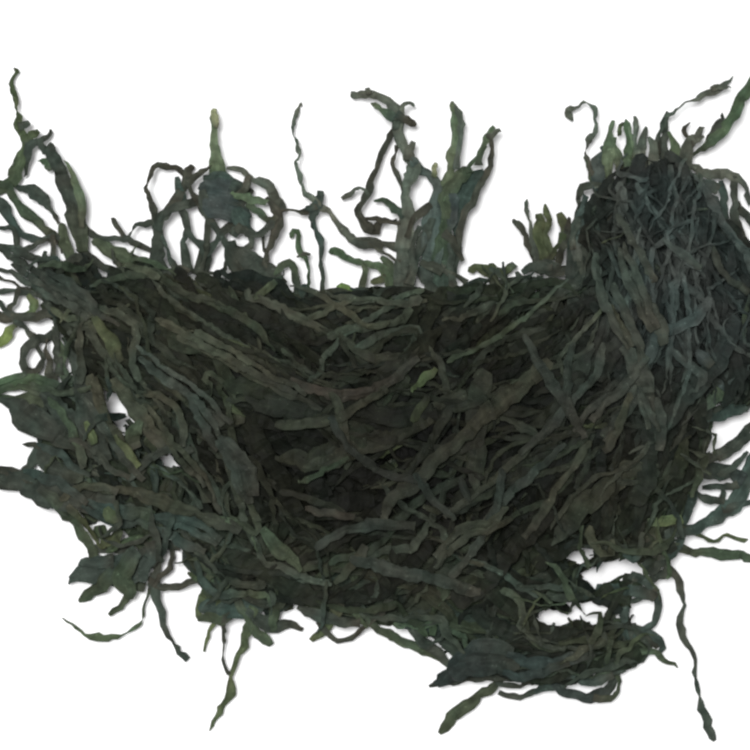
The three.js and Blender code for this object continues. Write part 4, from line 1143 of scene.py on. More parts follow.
    Stray("nest west loop", Tone.UMBER, 11, ((-74.8, 90, 1.6), (-78, 93.2, 2), (-81.2, 94.4, 2.4),
        (-84.8, 94.8, 2.4), (-88.4, 93.6, 2.4), (-90.4, 91.2, 1.6), (-91.2, 88, 1.2), (-90.8, 84.8, 2),
        (-90, 82, 2.4), (-89.2, 78.8, 2.8), (-88.4, 75.6, 3.2), (-87.2, 72, 4), (-86.8, 67.6, 4.8),
        (-87.2, 62.8, 5.6), (-86.8, 57.2, 6.4), (-85.2, 50, 6.4)), root=Tone.SLATE),
    Stray("nest slant", Tone.UMBER, 10, ((-72.8, 95.6, 2.8), (-74.4, 92.8, 3.2), (-75.6, 89.6, 3.6),
        (-76.8, 86, 4), (-78.4, 82.4, 4.4), (-80.8, 78.8, 4.4), (-83.6, 76.4, 4), (-86, 73.6, 4),
        (-87.2, 69.2, 4)), root=Tone.SLATE),
    Stray("nest slant twin", Tone.TEAL, 10, ((-78.8, 90.8, 2.4), (-78.8, 86.8, 3.6), (-77.6, 82.8, 4),
        (-76.8, 78.4, 3.6)), root=Tone.SLATE),
    Stray("nest bar", Tone.SLATE, 10, ((-86.8, 73.2, 3.2), (-83.6, 76.8, 3.2), (-79.2, 78, 3.6),
        (-74.8, 79.2, 3.2), (-71.2, 80.4, 3.2), (-66.8, 82.4, 3.6))),
    Stray("nest brace", Tone.UMBER, 10, ((-74.8, 90, 2), (-74, 86, 2), (-72, 82.8, 2.8),
        (-70, 79.6, 2.8), (-67.6, 75.6, 3.2))),
    Stray("nest first rope", Tone.SLATE, 9, ((-78, 79.2, 3.2), (-76.4, 74.4, 3.2), (-75.2, 69.6, 3.2),
        (-76, 64, 2.8), (-76, 58.8, 3.2), (-74.4, 52.4, 4))),
    Stray("nest second rope", Tone.SLATE, 9, ((-76.8, 75.6, 2.4), (-74.4, 69.2, 2.4),
        (-71.6, 64.8, 2.8), (-68.8, 62, 3.6), (-68, 58, 4.4), (-68.4, 52.4, 5.2))),
    Stray("nest third rope", Tone.UMBER, 9, ((-67.6, 75.6, 3.2), (-66.8, 70.8, 2.8), (-66.8, 66.8, 2.8),
        (-67.6, 62.8, 3.6), (-69.2, 58, 4), (-71.6, 51.6, 4.8))),
    Stray("nest cross down", Tone.SLATE, 9, ((-68.8, 78, 3.2), (-65.6, 72.8, 2.8), (-62.8, 68.8, 3.2),
        (-60, 64.8, 4.4), (-58.4, 60, 5.2), (-55.6, 55.6, 6), (-51.6, 51.6, 7.2))),
    Stray("nest cross up", Tone.SLATE, 9, ((-67.6, 58.8, 3.2), (-65.2, 62.8, 2.8), (-62, 66.4, 3.2),
        (-58.8, 69.6, 4), (-54.8, 73.2, 4.8))),
    Stray("nest gap foot", Tone.UMBER, 8, ((-71.6, 52, 2), (-67.6, 52, 1.6), (-63.6, 51.6, 1.6),
        (-60.4, 54, 2), (-58.8, 57.2, 2.4))),
    Stray("nest ring", Tone.SLATE, 9, ((-57.2, 66.8, 4.8), (-53.2, 69.6, 4), (-50, 67.6, 2.8),
        (-49.6, 64.4, 2.4), (-51.6, 61.6, 3.2), (-54, 58, 4))),
    Stray("nest apron", Tone.SLATE, 8, ((-57.2, 65.2, 4.8), (-55.6, 61.2, 6), (-51.6, 58, 6.8),
        (-46.8, 54.8, 7.2), (-41.2, 51.6, 6.4), (-36.4, 47.6, 4.8)), root=Tone.UMBER),
    Stray("nest post", Tone.FERN, 9, ((-64, 117.6, 3.2), (-64, 113.6, 2.8), (-64.4, 109.6, 3.2),
        (-64.8, 105.2, 3.6), (-64, 101.2, 4.4), (-63.2, 97.2, 5.6), (-62.8, 92.4, 6.4),
        (-62.4, 87.6, 6.4)), root=Tone.LEAF),
    Stray("nest arc", Tone.UMBER, 10, ((-64.8, 95.6, 1.2), (-67.6, 93.6, 2), (-70.4, 92, 2.4),
        (-73.2, 89.2, 2.4), (-75.6, 86, 2.8))),
    Stray("nest lid", Tone.TEAL, 9, ((-68.8, 90, 3.2), (-64.4, 90, 4.8), (-58.8, 88.8, 4.8),
        (-54, 86, 4.8), (-50, 82.8, 4.8))),
    Stray("nest first knot", Tone.SEA, 9, ((-70.4, 86.8, 4.8), (-65.6, 86, 8), (-60.4, 84.8, 9.6),
        (-55.2, 82.8, 8.8), (-51.2, 79.6, 5.6))),
    Stray("nest second knot", Tone.SEA, 9, ((-68.8, 81.2, 5.6), (-64.4, 78.8, 9.6), (-59.2, 77.6, 11.2),
        (-54.4, 75.6, 9.6), (-50.4, 72.8, 5.6)), root=Tone.SLATE),
    Stray("nest third knot", Tone.SLATE, 8, ((-69.2, 85.2, 4), (-68.4, 80, 5.6), (-66.8, 75.6, 4.8),
        (-65.2, 71.6, 3.2))),
    Stray("nest fourth knot", Tone.TEAL, 8, ((-55.6, 78, 5.6), (-53.6, 73.6, 7.2), (-51.6, 70, 4.8),
        (-48.4, 68, 3.2)), root=Tone.SLATE),
    Stray("nest east loop", Tone.MIST, 11, ((-59.6, 94.4, 2), (-56.4, 94, 2), (-53.6, 92.8, 2),
        (-50.8, 91.2, 2.4), (-48, 88.8, 2.4), (-44.8, 88, 3.2), (-42.4, 86, 3.6), (-40.4, 83.2, 3.6),
        (-38.4, 80, 3.6), (-36.4, 77.2, 2.8)), root=Tone.UMBER),
    Stray("nest east fall", Tone.UMBER, 10, ((-43.6, 82, 2), (-41.2, 79.2, 2.8), (-39.2, 76, 4),
        (-39.2, 71.6, 3.6), (-40.4, 67.2, 3.2), (-42, 62.8, 2.4), (-43.2, 58.4, 2.4),
        (-44.4, 53.2, 3.2))),
    Stray("nest tick", Tone.UMBER, 10, ((-49.6, 90.8, 2.8), (-51.2, 88, 3.2), (-53.2, 84.8, 3.2),
        (-55.6, 81.2, 3.2))),
    Stray("nest leaf", Tone.FERN, 10, ((-42.8, 80.8, 2.8), (-46.8, 80.8, 4), (-51.2, 82, 4),
        (-54.8, 83.2, 2.4), (-58, 84.4, 2.4)), root=Tone.LEAF),
    Stray("nest link", Tone.MOSS, 9, ((-51.6, 79.6, 2.4), (-48.4, 77.6, 2.8), (-44.8, 75.6, 3.2),
        (-42, 73.2, 3.2), (-39.6, 74.8, 3.2))),
    Stray("nest bow", Tone.SLATE, 9, ((-40.4, 73.2, 3.2), (-43.2, 70, 3.6), (-46, 68, 3.2),
        (-49.2, 67.2, 3.6), (-52, 68.8, 4), (-55.6, 70.8, 4.8))),
    Stray("nest sliver", Tone.UMBER, 9, ((-45.2, 66.8, 1.6), (-44.4, 62.8, 1.2), (-42.8, 59.2, 1.6),
        (-43.6, 54.8, 2.4))),
    Stray("nest thread", Tone.UMBER, 9, ((-37.6, 76.8, 1.6), (-34.4, 77.2, 0.8), (-30.8, 76.8, 1.2),
        (-27.6, 76.8, 2.8), (-24.4, 78.4, 3.2))),
    Stray("nest low brace", Tone.SLATE, 8, ((-86, 66.8, 2.4), (-83.6, 64, 1.6), (-82.4, 60.8, 1.6),
        (-82, 57.6, 2), (-79.2, 54.8, 2.8), (-74.8, 51.6, 3.2))),
    Stray("twisted whip", Tone.MIST, 9, ((-29.2, 120.4, 0.8), (-30, 118, 1.6), (-31.6, 114.8, 2.8),
        (-33.2, 111.6, 2), (-33.2, 108.8, 1.2), (-32, 106, 0.8), (-30.8, 104, 1.6), (-30.4, 101.2, 2),
        (-30.8, 98.4, 1.2), (-31.6, 96.4, 0.8), (-31.2, 94, 1.6), (-30.4, 90.8, 2), (-29.6, 88, 1.6),
        (-28.4, 85.2, 1.6), (-26.4, 82.8, 2.8), (-24, 80.8, 2.8), (-21.6, 78.8, 3.2),
        (-18.8, 76.4, 2.4), (-16.4, 73.6, 2.4), (-14.4, 70.8, 2.8), (-12, 68.4, 3.2), (-9.2, 66, 3.6),
        (-5.2, 64.8, 3.2), (0, 64.4, 2.8), (5.2, 63.6, 3.2), (10, 62, 3.2)), root=Tone.UMBER),
    Stray("short post", Tone.TEAL, 8, ((-21.6, 85.2, 3.2), (-21.6, 81.6, 3.6), (-22.8, 78.8, 4.4),
        (-24.8, 76.4, 4), (-25.6, 73.6, 3.2), (-24.4, 70.4, 2.8), (-22.8, 67.2, 3.2),
        (-21.6, 63.6, 2.8), (-21.2, 59.6, 2), (-21.2, 54.8, 2), (-21.2, 49.6, 2),
        (-21.2, 43.6, 2.8)), root=Tone.UMBER),
    Stray("short post wing", Tone.TEAL, 8, ((-28, 78.8, 2.8), (-26, 77.6, 3.6), (-23.6, 78.4, 4))),
    Stray("hooked sprig", Tone.LEAF, 7, ((-34, 66, 2), (-32, 68, 3.2), (-30.4, 66.8, 2.4),
        (-30.4, 62.8, 2.4), (-29.2, 59.6, 2.4), (-27.6, 56.4, 1.6), (-26.4, 52.4, 1.6),
        (-26.4, 48, 1.6), (-26.8, 42.4, 2.4)), root=Tone.MOSS),
    Stray("sprig leaf", Tone.MOSS, 7, ((-40, 50.8, 2), (-37.2, 54.8, 3.2), (-34.4, 56.4, 3.6),
        (-32.4, 53.6, 3.2), (-31.6, 48.8, 3.2), (-31.2, 42.8, 3.2)), root=Tone.SLATE),
    Stray("sprig thread", Tone.UMBER, 8, ((-31.2, 58.4, 1.2), (-28.8, 59.6, 1.2), (-26, 59.2, 0.8))),
    Stray("shelf sprig", Tone.LEAF, 7, ((-18.4, 60.4, 1.6), (-16.4, 61.2, 3.2), (-13.6, 59.6, 3.2),
        (-10.4, 57.2, 2.8), (-6.8, 56.4, 2.8), (-2.8, 55.6, 3.2), (1.2, 54.8, 3.6), (4.4, 52, 4),
        (6.4, 47.2, 4.4), (7.2, 41.2, 4.8)), root=Tone.MOSS),
    Stray("shelf post", Tone.MOSS, 6, ((-5.2, 56.4, 2.4), (-3.6, 53.2, 2.4), (-4.4, 48.8, 2.4),
        (-5.6, 43.6, 3.2))),
    Stray("shelf brace", Tone.MOSS, 6, ((2.8, 58.4, 2.4), (5.2, 55.2, 3.2), (7.6, 51.2, 3.2),
        (9.2, 46, 3.2))),
    Stray("lime bump", Tone.LIME, 6, ((-15.6, 44.4, 2), (-13.2, 46, 4), (-10.4, 44.4, 4),
        (-7.6, 42, 2.4))),
    # the spray
    Stray("spray hook", Tone.MIST, 12, ((-10, 123.2, 3.6), (-6.8, 122.8, 3.6), (-3.6, 123.6, 3.6),
        (0, 123.2, 3.2), (3.2, 121.6, 3.6), (6.4, 119.2, 4.4), (8.8, 116.4, 4.8), (9.6, 113.2, 5.2),
        (9.2, 109.6, 4.4), (9.6, 105.6, 4), (11.2, 102.4, 4.8)), root=Tone.TEAL),
    Stray("spray hook tick", Tone.MIST, 12, ((-2.8, 126.4, 2.8), (-2.8, 123.6, 2.8))),
    Stray("spray column", Tone.MIST, 12, ((9.6, 114, 4), (9.2, 109.2, 4), (10.4, 104, 4.4),
        (12.8, 100, 4.8), (14.4, 96.8, 5.6), (14.8, 93.2, 6.4), (14, 89.6, 5.6), (12.8, 86, 4),
        (12, 82.4, 3.6), (12.8, 78, 5.6), (12.8, 73.6, 6.8), (12, 68.8, 6.4), (11.6, 63.6, 6.8),
        (11.6, 58, 7.6), (11.6, 50.8, 8.4), (11.6, 40.4, 8.8)), root=Tone.SLATE),
    Stray("spray hook twin", Tone.FERN, 11, ((-1.6, 120, 2), (0.4, 118.4, 3.2), (2.8, 117.2, 2),
        (5.2, 116, 3.6), (7.6, 113.6, 4)), root=Tone.TEAL),
    Stray("spray loop tip", Tone.MIST, 11, ((16, 119.6, 2), (14, 120.4, 1.6), (12, 119.6, 1.6),
        (10.8, 117.2, 2), (10, 114, 2.4))),
    Stray("spray right tip", Tone.UMBER, 11, ((16.4, 111.2, 2.8), (14, 112.4, 3.2), (11.6, 114, 3.6),
        (8.8, 115.6, 3.6)), root=Tone.TEAL),
    Stray("spray step", Tone.MIST, 11, ((15.6, 104.4, 2.8), (14, 101.6, 3.6), (13.2, 97.2, 4))),
    Stray("spray arm", Tone.UMBER, 9, ((8, 110.4, 2), (6.4, 106.8, 2.4), (4.4, 102.8, 2.4),
        (2.8, 99.2, 2.8), (0.8, 96, 2.4), (-0.4, 92.4, 2.4), (-1.6, 88.4, 2.8), (-2.4, 84.8, 3.2),
        (-4, 81.6, 2.4), (-6, 78.8, 2.4), (-6.4, 75.6, 3.2), (-5.2, 72.8, 4.4), (-2.8, 70.4, 4.8),
        (0.4, 69.6, 4.8), (2.4, 72.4, 2.4), (5.6, 72.4, 1.6), (9.2, 72.8, 2))),
    Stray("spray inner thread", Tone.UMBER, 9, ((8.8, 102.4, 1.6), (8, 99.6, 1.2), (7.6, 96, 1.6),
        (8.4, 92.4, 2), (9.6, 88.4, 2), (11.2, 84, 2.4))),
    Stray("spray arm tick", Tone.MIST, 9, ((-13.2, 81.6, 2.4), (-10.4, 83.6, 2.4), (-7.6, 85.2, 2),
        (-5.6, 86.4, 1.6), (-3.6, 85.2, 1.6), (-2.8, 82.4, 2)), root=Tone.UMBER),
    Stray("spray second arm", Tone.MOSS, 9, ((-0.8, 80.8, 1.6), (2.4, 81.6, 2.8), (5.6, 80, 3.2),
        (8.8, 77.6, 3.6), (11.6, 74.4, 4)), root=Tone.TEAL),
    Stray("spray thin cross", Tone.UMBER, 9, ((-4.4, 74.4, 1.6), (0.4, 73.6, 2), (5.2, 72.4, 1.6),
        (10, 72.4, 2))),
    Stray("spray under rail", Tone.SLATE, 9, ((-9.2, 64.4, 2), (-6, 63.2, 3.2), (-2, 63.6, 3.2),
        (2.8, 62.4, 2.8))),
    Stray("spray fine thread", Tone.UMBER, 9, ((-2.8, 63.6, 0.8), (1.6, 61.2, 1.2), (6, 58.8, 1.2),
        (10, 56.8, 1.6))),
    Stray("spray fork", Tone.HAZE, 10, ((14.4, 98, 3.2), (17.6, 94.4, 4), (20.8, 92, 4),
        (23.2, 89.6, 4.8), (24.8, 86.4, 4.8), (25.2, 82.4, 5.2), (24.4, 77.6, 6.4), (23.6, 72.4, 8),
        (23.2, 66, 8.8), (22.8, 59.6, 9.6), (22.8, 52.4, 10.4), (23.2, 42, 10.4)), root=Tone.UMBER),
    Stray("spray fork tip", Tone.PALE, 10, ((24.4, 96.4, 2), (23.6, 93.6, 2),
        (23.6, 90, 2.4)), root=Tone.LEAF),
    Stray("spray blade", Tone.FERN, 11, ((30.8, 120.4, 1.6), (31.6, 118, 3.2), (32.4, 114.4, 4),
        (32.4, 110, 4.4), (32, 105.2, 4), (30.8, 100.4, 4), (30.8, 96, 4), (30, 92.4, 3.6),
        (28.4, 88.8, 3.6), (26.8, 85.2, 3.6), (26, 81.2, 4)), root=Tone.LEAF),
    Stray("spray blade back", Tone.MIST, 11, ((31.6, 119.6, 1.6), (33.6, 116.4, 2.8), (34.8, 112, 2.8),
        (34.4, 107.6, 2.8), (33.6, 102.8, 2.4), (32.8, 98, 2.8), (32.4, 93.2, 3.2)), root=Tone.TEAL),
    Stray("spray heart", Tone.TEAL, 9, ((43.6, 93.2, 3.6), (40.4, 90, 6.8), (36.8, 86, 8.4),
        (34, 81.2, 8.4), (32.4, 76.4, 6.8), (32.4, 70.8, 3.6), (32.4, 65.2, 3.2), (32.8, 60.4, 3.6),
        (32, 55.6, 3.2)), root=Tone.SLATE),
    Stray("spray heart west", Tone.MOSS, 9, ((38, 94, 3.2), (34.4, 91.2, 5.6), (31.2, 87.6, 6.4),
        (29.2, 82.8, 6.4), (28.8, 77.2, 5.6), (28, 71.6, 4.8), (26.8, 65.2, 6.4), (26.8, 56.4, 7.2),
        (27.6, 42.8, 7.2)), root=Tone.TEAL),
    Stray("spray heart low", Tone.SEA, 9, ((30.8, 83.6, 5.6), (30.8, 78, 6.4), (30, 72.4, 4),
        (28.4, 66, 3.2)), root=Tone.SLATE),
    Stray("spray twig", Tone.FERN, 12, ((48, 110.8, 1.6), (46, 108, 4), (44.4, 105.2, 3.6),
        (42.8, 102, 2.4), (40.8, 98.8, 2), (38.8, 95.6, 2), (38, 92, 2.8)), root=Tone.MOSS),
    Stray("spray twig prong", Tone.MIST, 12, ((49.6, 109.2, 1.6), (47.6, 107.2, 2.4),
        (45.6, 106, 3.2))),
    Stray("spray twig leg", Tone.UMBER, 11, ((46.4, 105.6, 2), (46.8, 101.6, 1.6), (46.8, 97.2, 2.4),
        (45.2, 93.2, 2.8), (43.2, 89.2, 3.2), (40.4, 83.6, 3.2), (37.2, 78.4, 2.8), (35.2, 74, 2.8),
        (34, 68.8, 2.8), (33.6, 63.6, 3.2), (32.8, 58, 3.2), (31.2, 52.4, 3.2)), root=Tone.SLATE),
    Stray("spray twig inner", Tone.MOSS, 11, ((44, 102.8, 1.6), (42, 99.2, 2), (41.6, 94.8, 3.6))),
    Stray("spray web one", Tone.UMBER, 8, ((22.4, 80, 3.6), (18.8, 77.2, 3.6), (15.6, 73.6, 3.2),
        (14, 69.6, 2.8), (12.8, 65.2, 3.2))),
    Stray("spray web two", Tone.SLATE, 8, ((22.8, 74, 4.8), (20.8, 68.4, 4.8), (18.4, 63.2, 4),
        (16.4, 58.4, 3.6), (14.8, 53.2, 3.6), (13.2, 43.6, 4))),
    Stray("spray web three", Tone.SLATE, 8, ((28.4, 70.8, 2.8), (29.6, 65.2, 2.8), (31.2, 59.6, 3.2),
        (30, 54, 3.2), (30.8, 48.4, 3.6), (33.2, 42.8, 4))),
    Stray("spray web four", Tone.UMBER, 8, ((35.6, 56.4, 2.4), (33.2, 61.2, 4), (30.8, 65.2, 3.2),
        (27.6, 68.4, 4))),
    Stray("spray web five", Tone.SLATE, 8, ((18, 70.8, 2.4), (15.6, 65.2, 3.2), (14.4, 59.6, 3.6),
        (15.6, 54, 3.2), (14, 47.6, 4))),
    Stray("spray web six", Tone.UMBER, 8, ((26, 54, 2), (29.2, 52, 2), (33.2, 50.8, 2),
        (37.2, 47.6, 2.8))),
    Stray("east corner under", Tone.HAZE, 10, ((127.6, 89.6, 4.8), (132.4, 87.6, 5.2),
        (136.8, 85.6, 3.6))),
    Stray("horn west base", Tone.HAZE, 9, ((85.2, 82.8, 3.2), (82.4, 76.4, 3.6), (81.2, 69.2, 4),
        (80.4, 62, 4), (80.8, 56.4, 3.6))),
    Stray("spray base", Tone.UMBER, 8, ((18, 56.4, 3.2), (22.8, 54.4, 4.8), (27.6, 52.4, 4.4))),
    Stray("west ragged fill", Tone.SLATE, 3, ((-114.8, -58.4, 3.2), (-110, -58.4, 4),
        (-104.4, -58.4, 4), (-98.8, -57.2, 4), (-94, -53.2, 4))),
    Stray("west ragged cover", Tone.MOSS, 3, ((-102, -48.4, 2.4), (-98, -50.8, 4.4), (-94.8, -53.2, 4),
        (-90.8, -54.8, 3.2))),
    Stray("west shoulder edge", Tone.UMBER, 4, ((-129.2, -19.6, 2.8), (-123.6, -23.6, 4),
        (-117.2, -26, 4.8), (-110.8, -27.6, 4.8), (-104.4, -29.2, 4))),
    Stray("west shoulder cross", Tone.MOSS, 4, ((-126.8, -33.2, 3.2), (-122, -29.2, 3.6),
        (-116.4, -26.8, 3.6), (-110, -22.8, 3.2))),
    Stray("west tongue top", Tone.UMBER, 4, ((-152.4, -26.8, 3.6), (-146, -27.6, 4),
        (-139.6, -29.2, 4.4), (-132.4, -31.6, 4.4), (-125.2, -34.8, 4), (-118, -37.2, 3.6))),
    Stray("west frond middle", Tone.MOSS, 4, ((-152.4, 3.6, 3.2), (-146.8, 5.6, 3.6),
        (-141.2, 6.8, 3.6), (-136.4, 5.6, 3.6), (-130.8, 4, 4)), root=Tone.SLATE),
    Stray("west frond edge", Tone.SLATE, 4, ((-146, -0.4, 2.4), (-144, -3.6, 4), (-142, -6.8, 4.8),
        (-138.4, -10.4, 4.4), (-132.8, -13.2, 4))),
    Stray("west ragged upper tip", Tone.TEAL, 4, ((-122, -69.6, 1.6), (-118.4, -66.8, 4),
        (-114, -63.6, 4.8))),
    Stray("west ragged cut", Tone.MOSS, 3, ((-103.6, -67.6, 4), (-98, -70.8, 4.4), (-91.6, -74, 3.6))),
    Stray("south west corner tuft", Tone.SLATE, 4, ((-87.6, -59.2, 3.2), (-83.6, -57.2, 4.8),
        (-78, -57.2, 4.8))),
    Stray("south bowl fill", Tone.TEAL, 4, ((78.8, -109.6, 2.4), (84.4, -110.4, 4.8), (90, -110.4, 4.8),
        (94.8, -107.6, 3.6))),
    Stray("south east hook lid", Tone.TEAL, 6, ((88.4, -73.6, 4), (95.6, -74.8, 4.8), (102, -75.2, 5.2),
        (108, -75.6, 4.8), (112.4, -78, 3.2))),
    Stray("south east hook crown", Tone.SLATE, 6, ((109.2, -71.6, 2.8), (112.8, -69.2, 3.6),
        (117.2, -66.8, 3.6))),
    Stray("east low rail", Tone.SLATE, 6, ((131.2, -33.6, 2), (136.4, -33.2, 2.4), (141.2, -33.2, 2.8),
        (145.2, -32.4, 3.2))),
    Stray("east low step", Tone.SLATE, 6, ((138.8, -33.2, 2.4), (139.2, -36, 2.4), (138.8, -39.2, 2))),
    Stray("east upper step", Tone.SLATE, 7, ((152.4, -12, 2.4), (148.8, -14.8, 2.8),
        (145.2, -17.2, 2.8), (141.2, -20, 2.8), (137.2, -22.8, 2.8))),
    Stray("horn west base side", Tone.SLATE, 9, ((83.6, 80, 2), (81.2, 75.6, 2.8), (79.6, 68.8, 3.2),
        (78.8, 61.2, 3.2))),
    Stray("shelf knot", Tone.SAGE, 6, ((-1.6, 48, 2.4), (1.2, 49.2, 3.2), (4.4, 50.4, 2.8))),
    Stray("nest post tip", Tone.PALE, 11, ((-64.4, 118, 1.6), (-64.4, 115.6, 2.8), (-64, 112.8, 2.8),
        (-64, 110, 2))),
    Stray("south edge cover", Tone.SLATE, 3, ((-30.8, -81.2, 2.8), (-26, -84, 4.4), (-21.2, -85.6, 4.8),
        (-16.4, -86.8, 4.8), (-11.6, -87.6, 4.8), (-6, -86.8, 4.8))),
    Stray("south west crumb", Tone.MOSS, 3, ((-70.8, -86, 2.8), (-66.8, -85.6, 3.6), (-62, -86.8, 3.6),
        (-57.2, -85.2, 3.2))),
    Stray("south swag upper", Tone.SLATE, 4, ((48.4, -112, 2), (53.2, -113.2, 2.4), (58, -112.8, 2.4),
        (62.8, -110.8, 2.8))),
    Stray("west net post", Tone.SLATE, 5, ((-127.6, 34.8, 2.8), (-127.2, 28.4, 2.8),
        (-127.6, 22.8, 3.2), (-126.8, 17.2, 3.2), (-126, 10.8, 3.6))),
    Stray("west frond crest", Tone.LEAF, 4, ((-152.4, 7.2, 2.4), (-147.6, 9.2, 2.8),
        (-143.6, 10.8, 2.8), (-139.2, 12, 2.4)), root=Tone.SLATE),
    Stray("west shoulder root", Tone.SLATE, 4, ((-134.8, -17.2, 2.4), (-136, -21.2, 4),
        (-138, -25.2, 4), (-141.2, -28.4, 3.2))),
    Stray("notch rim fill", Tone.SLATE, 8, ((58.8, 52, 2.4), (62.8, 54, 3.6), (66.8, 54.8, 3.6),
        (70.8, 54, 3.6))),
)

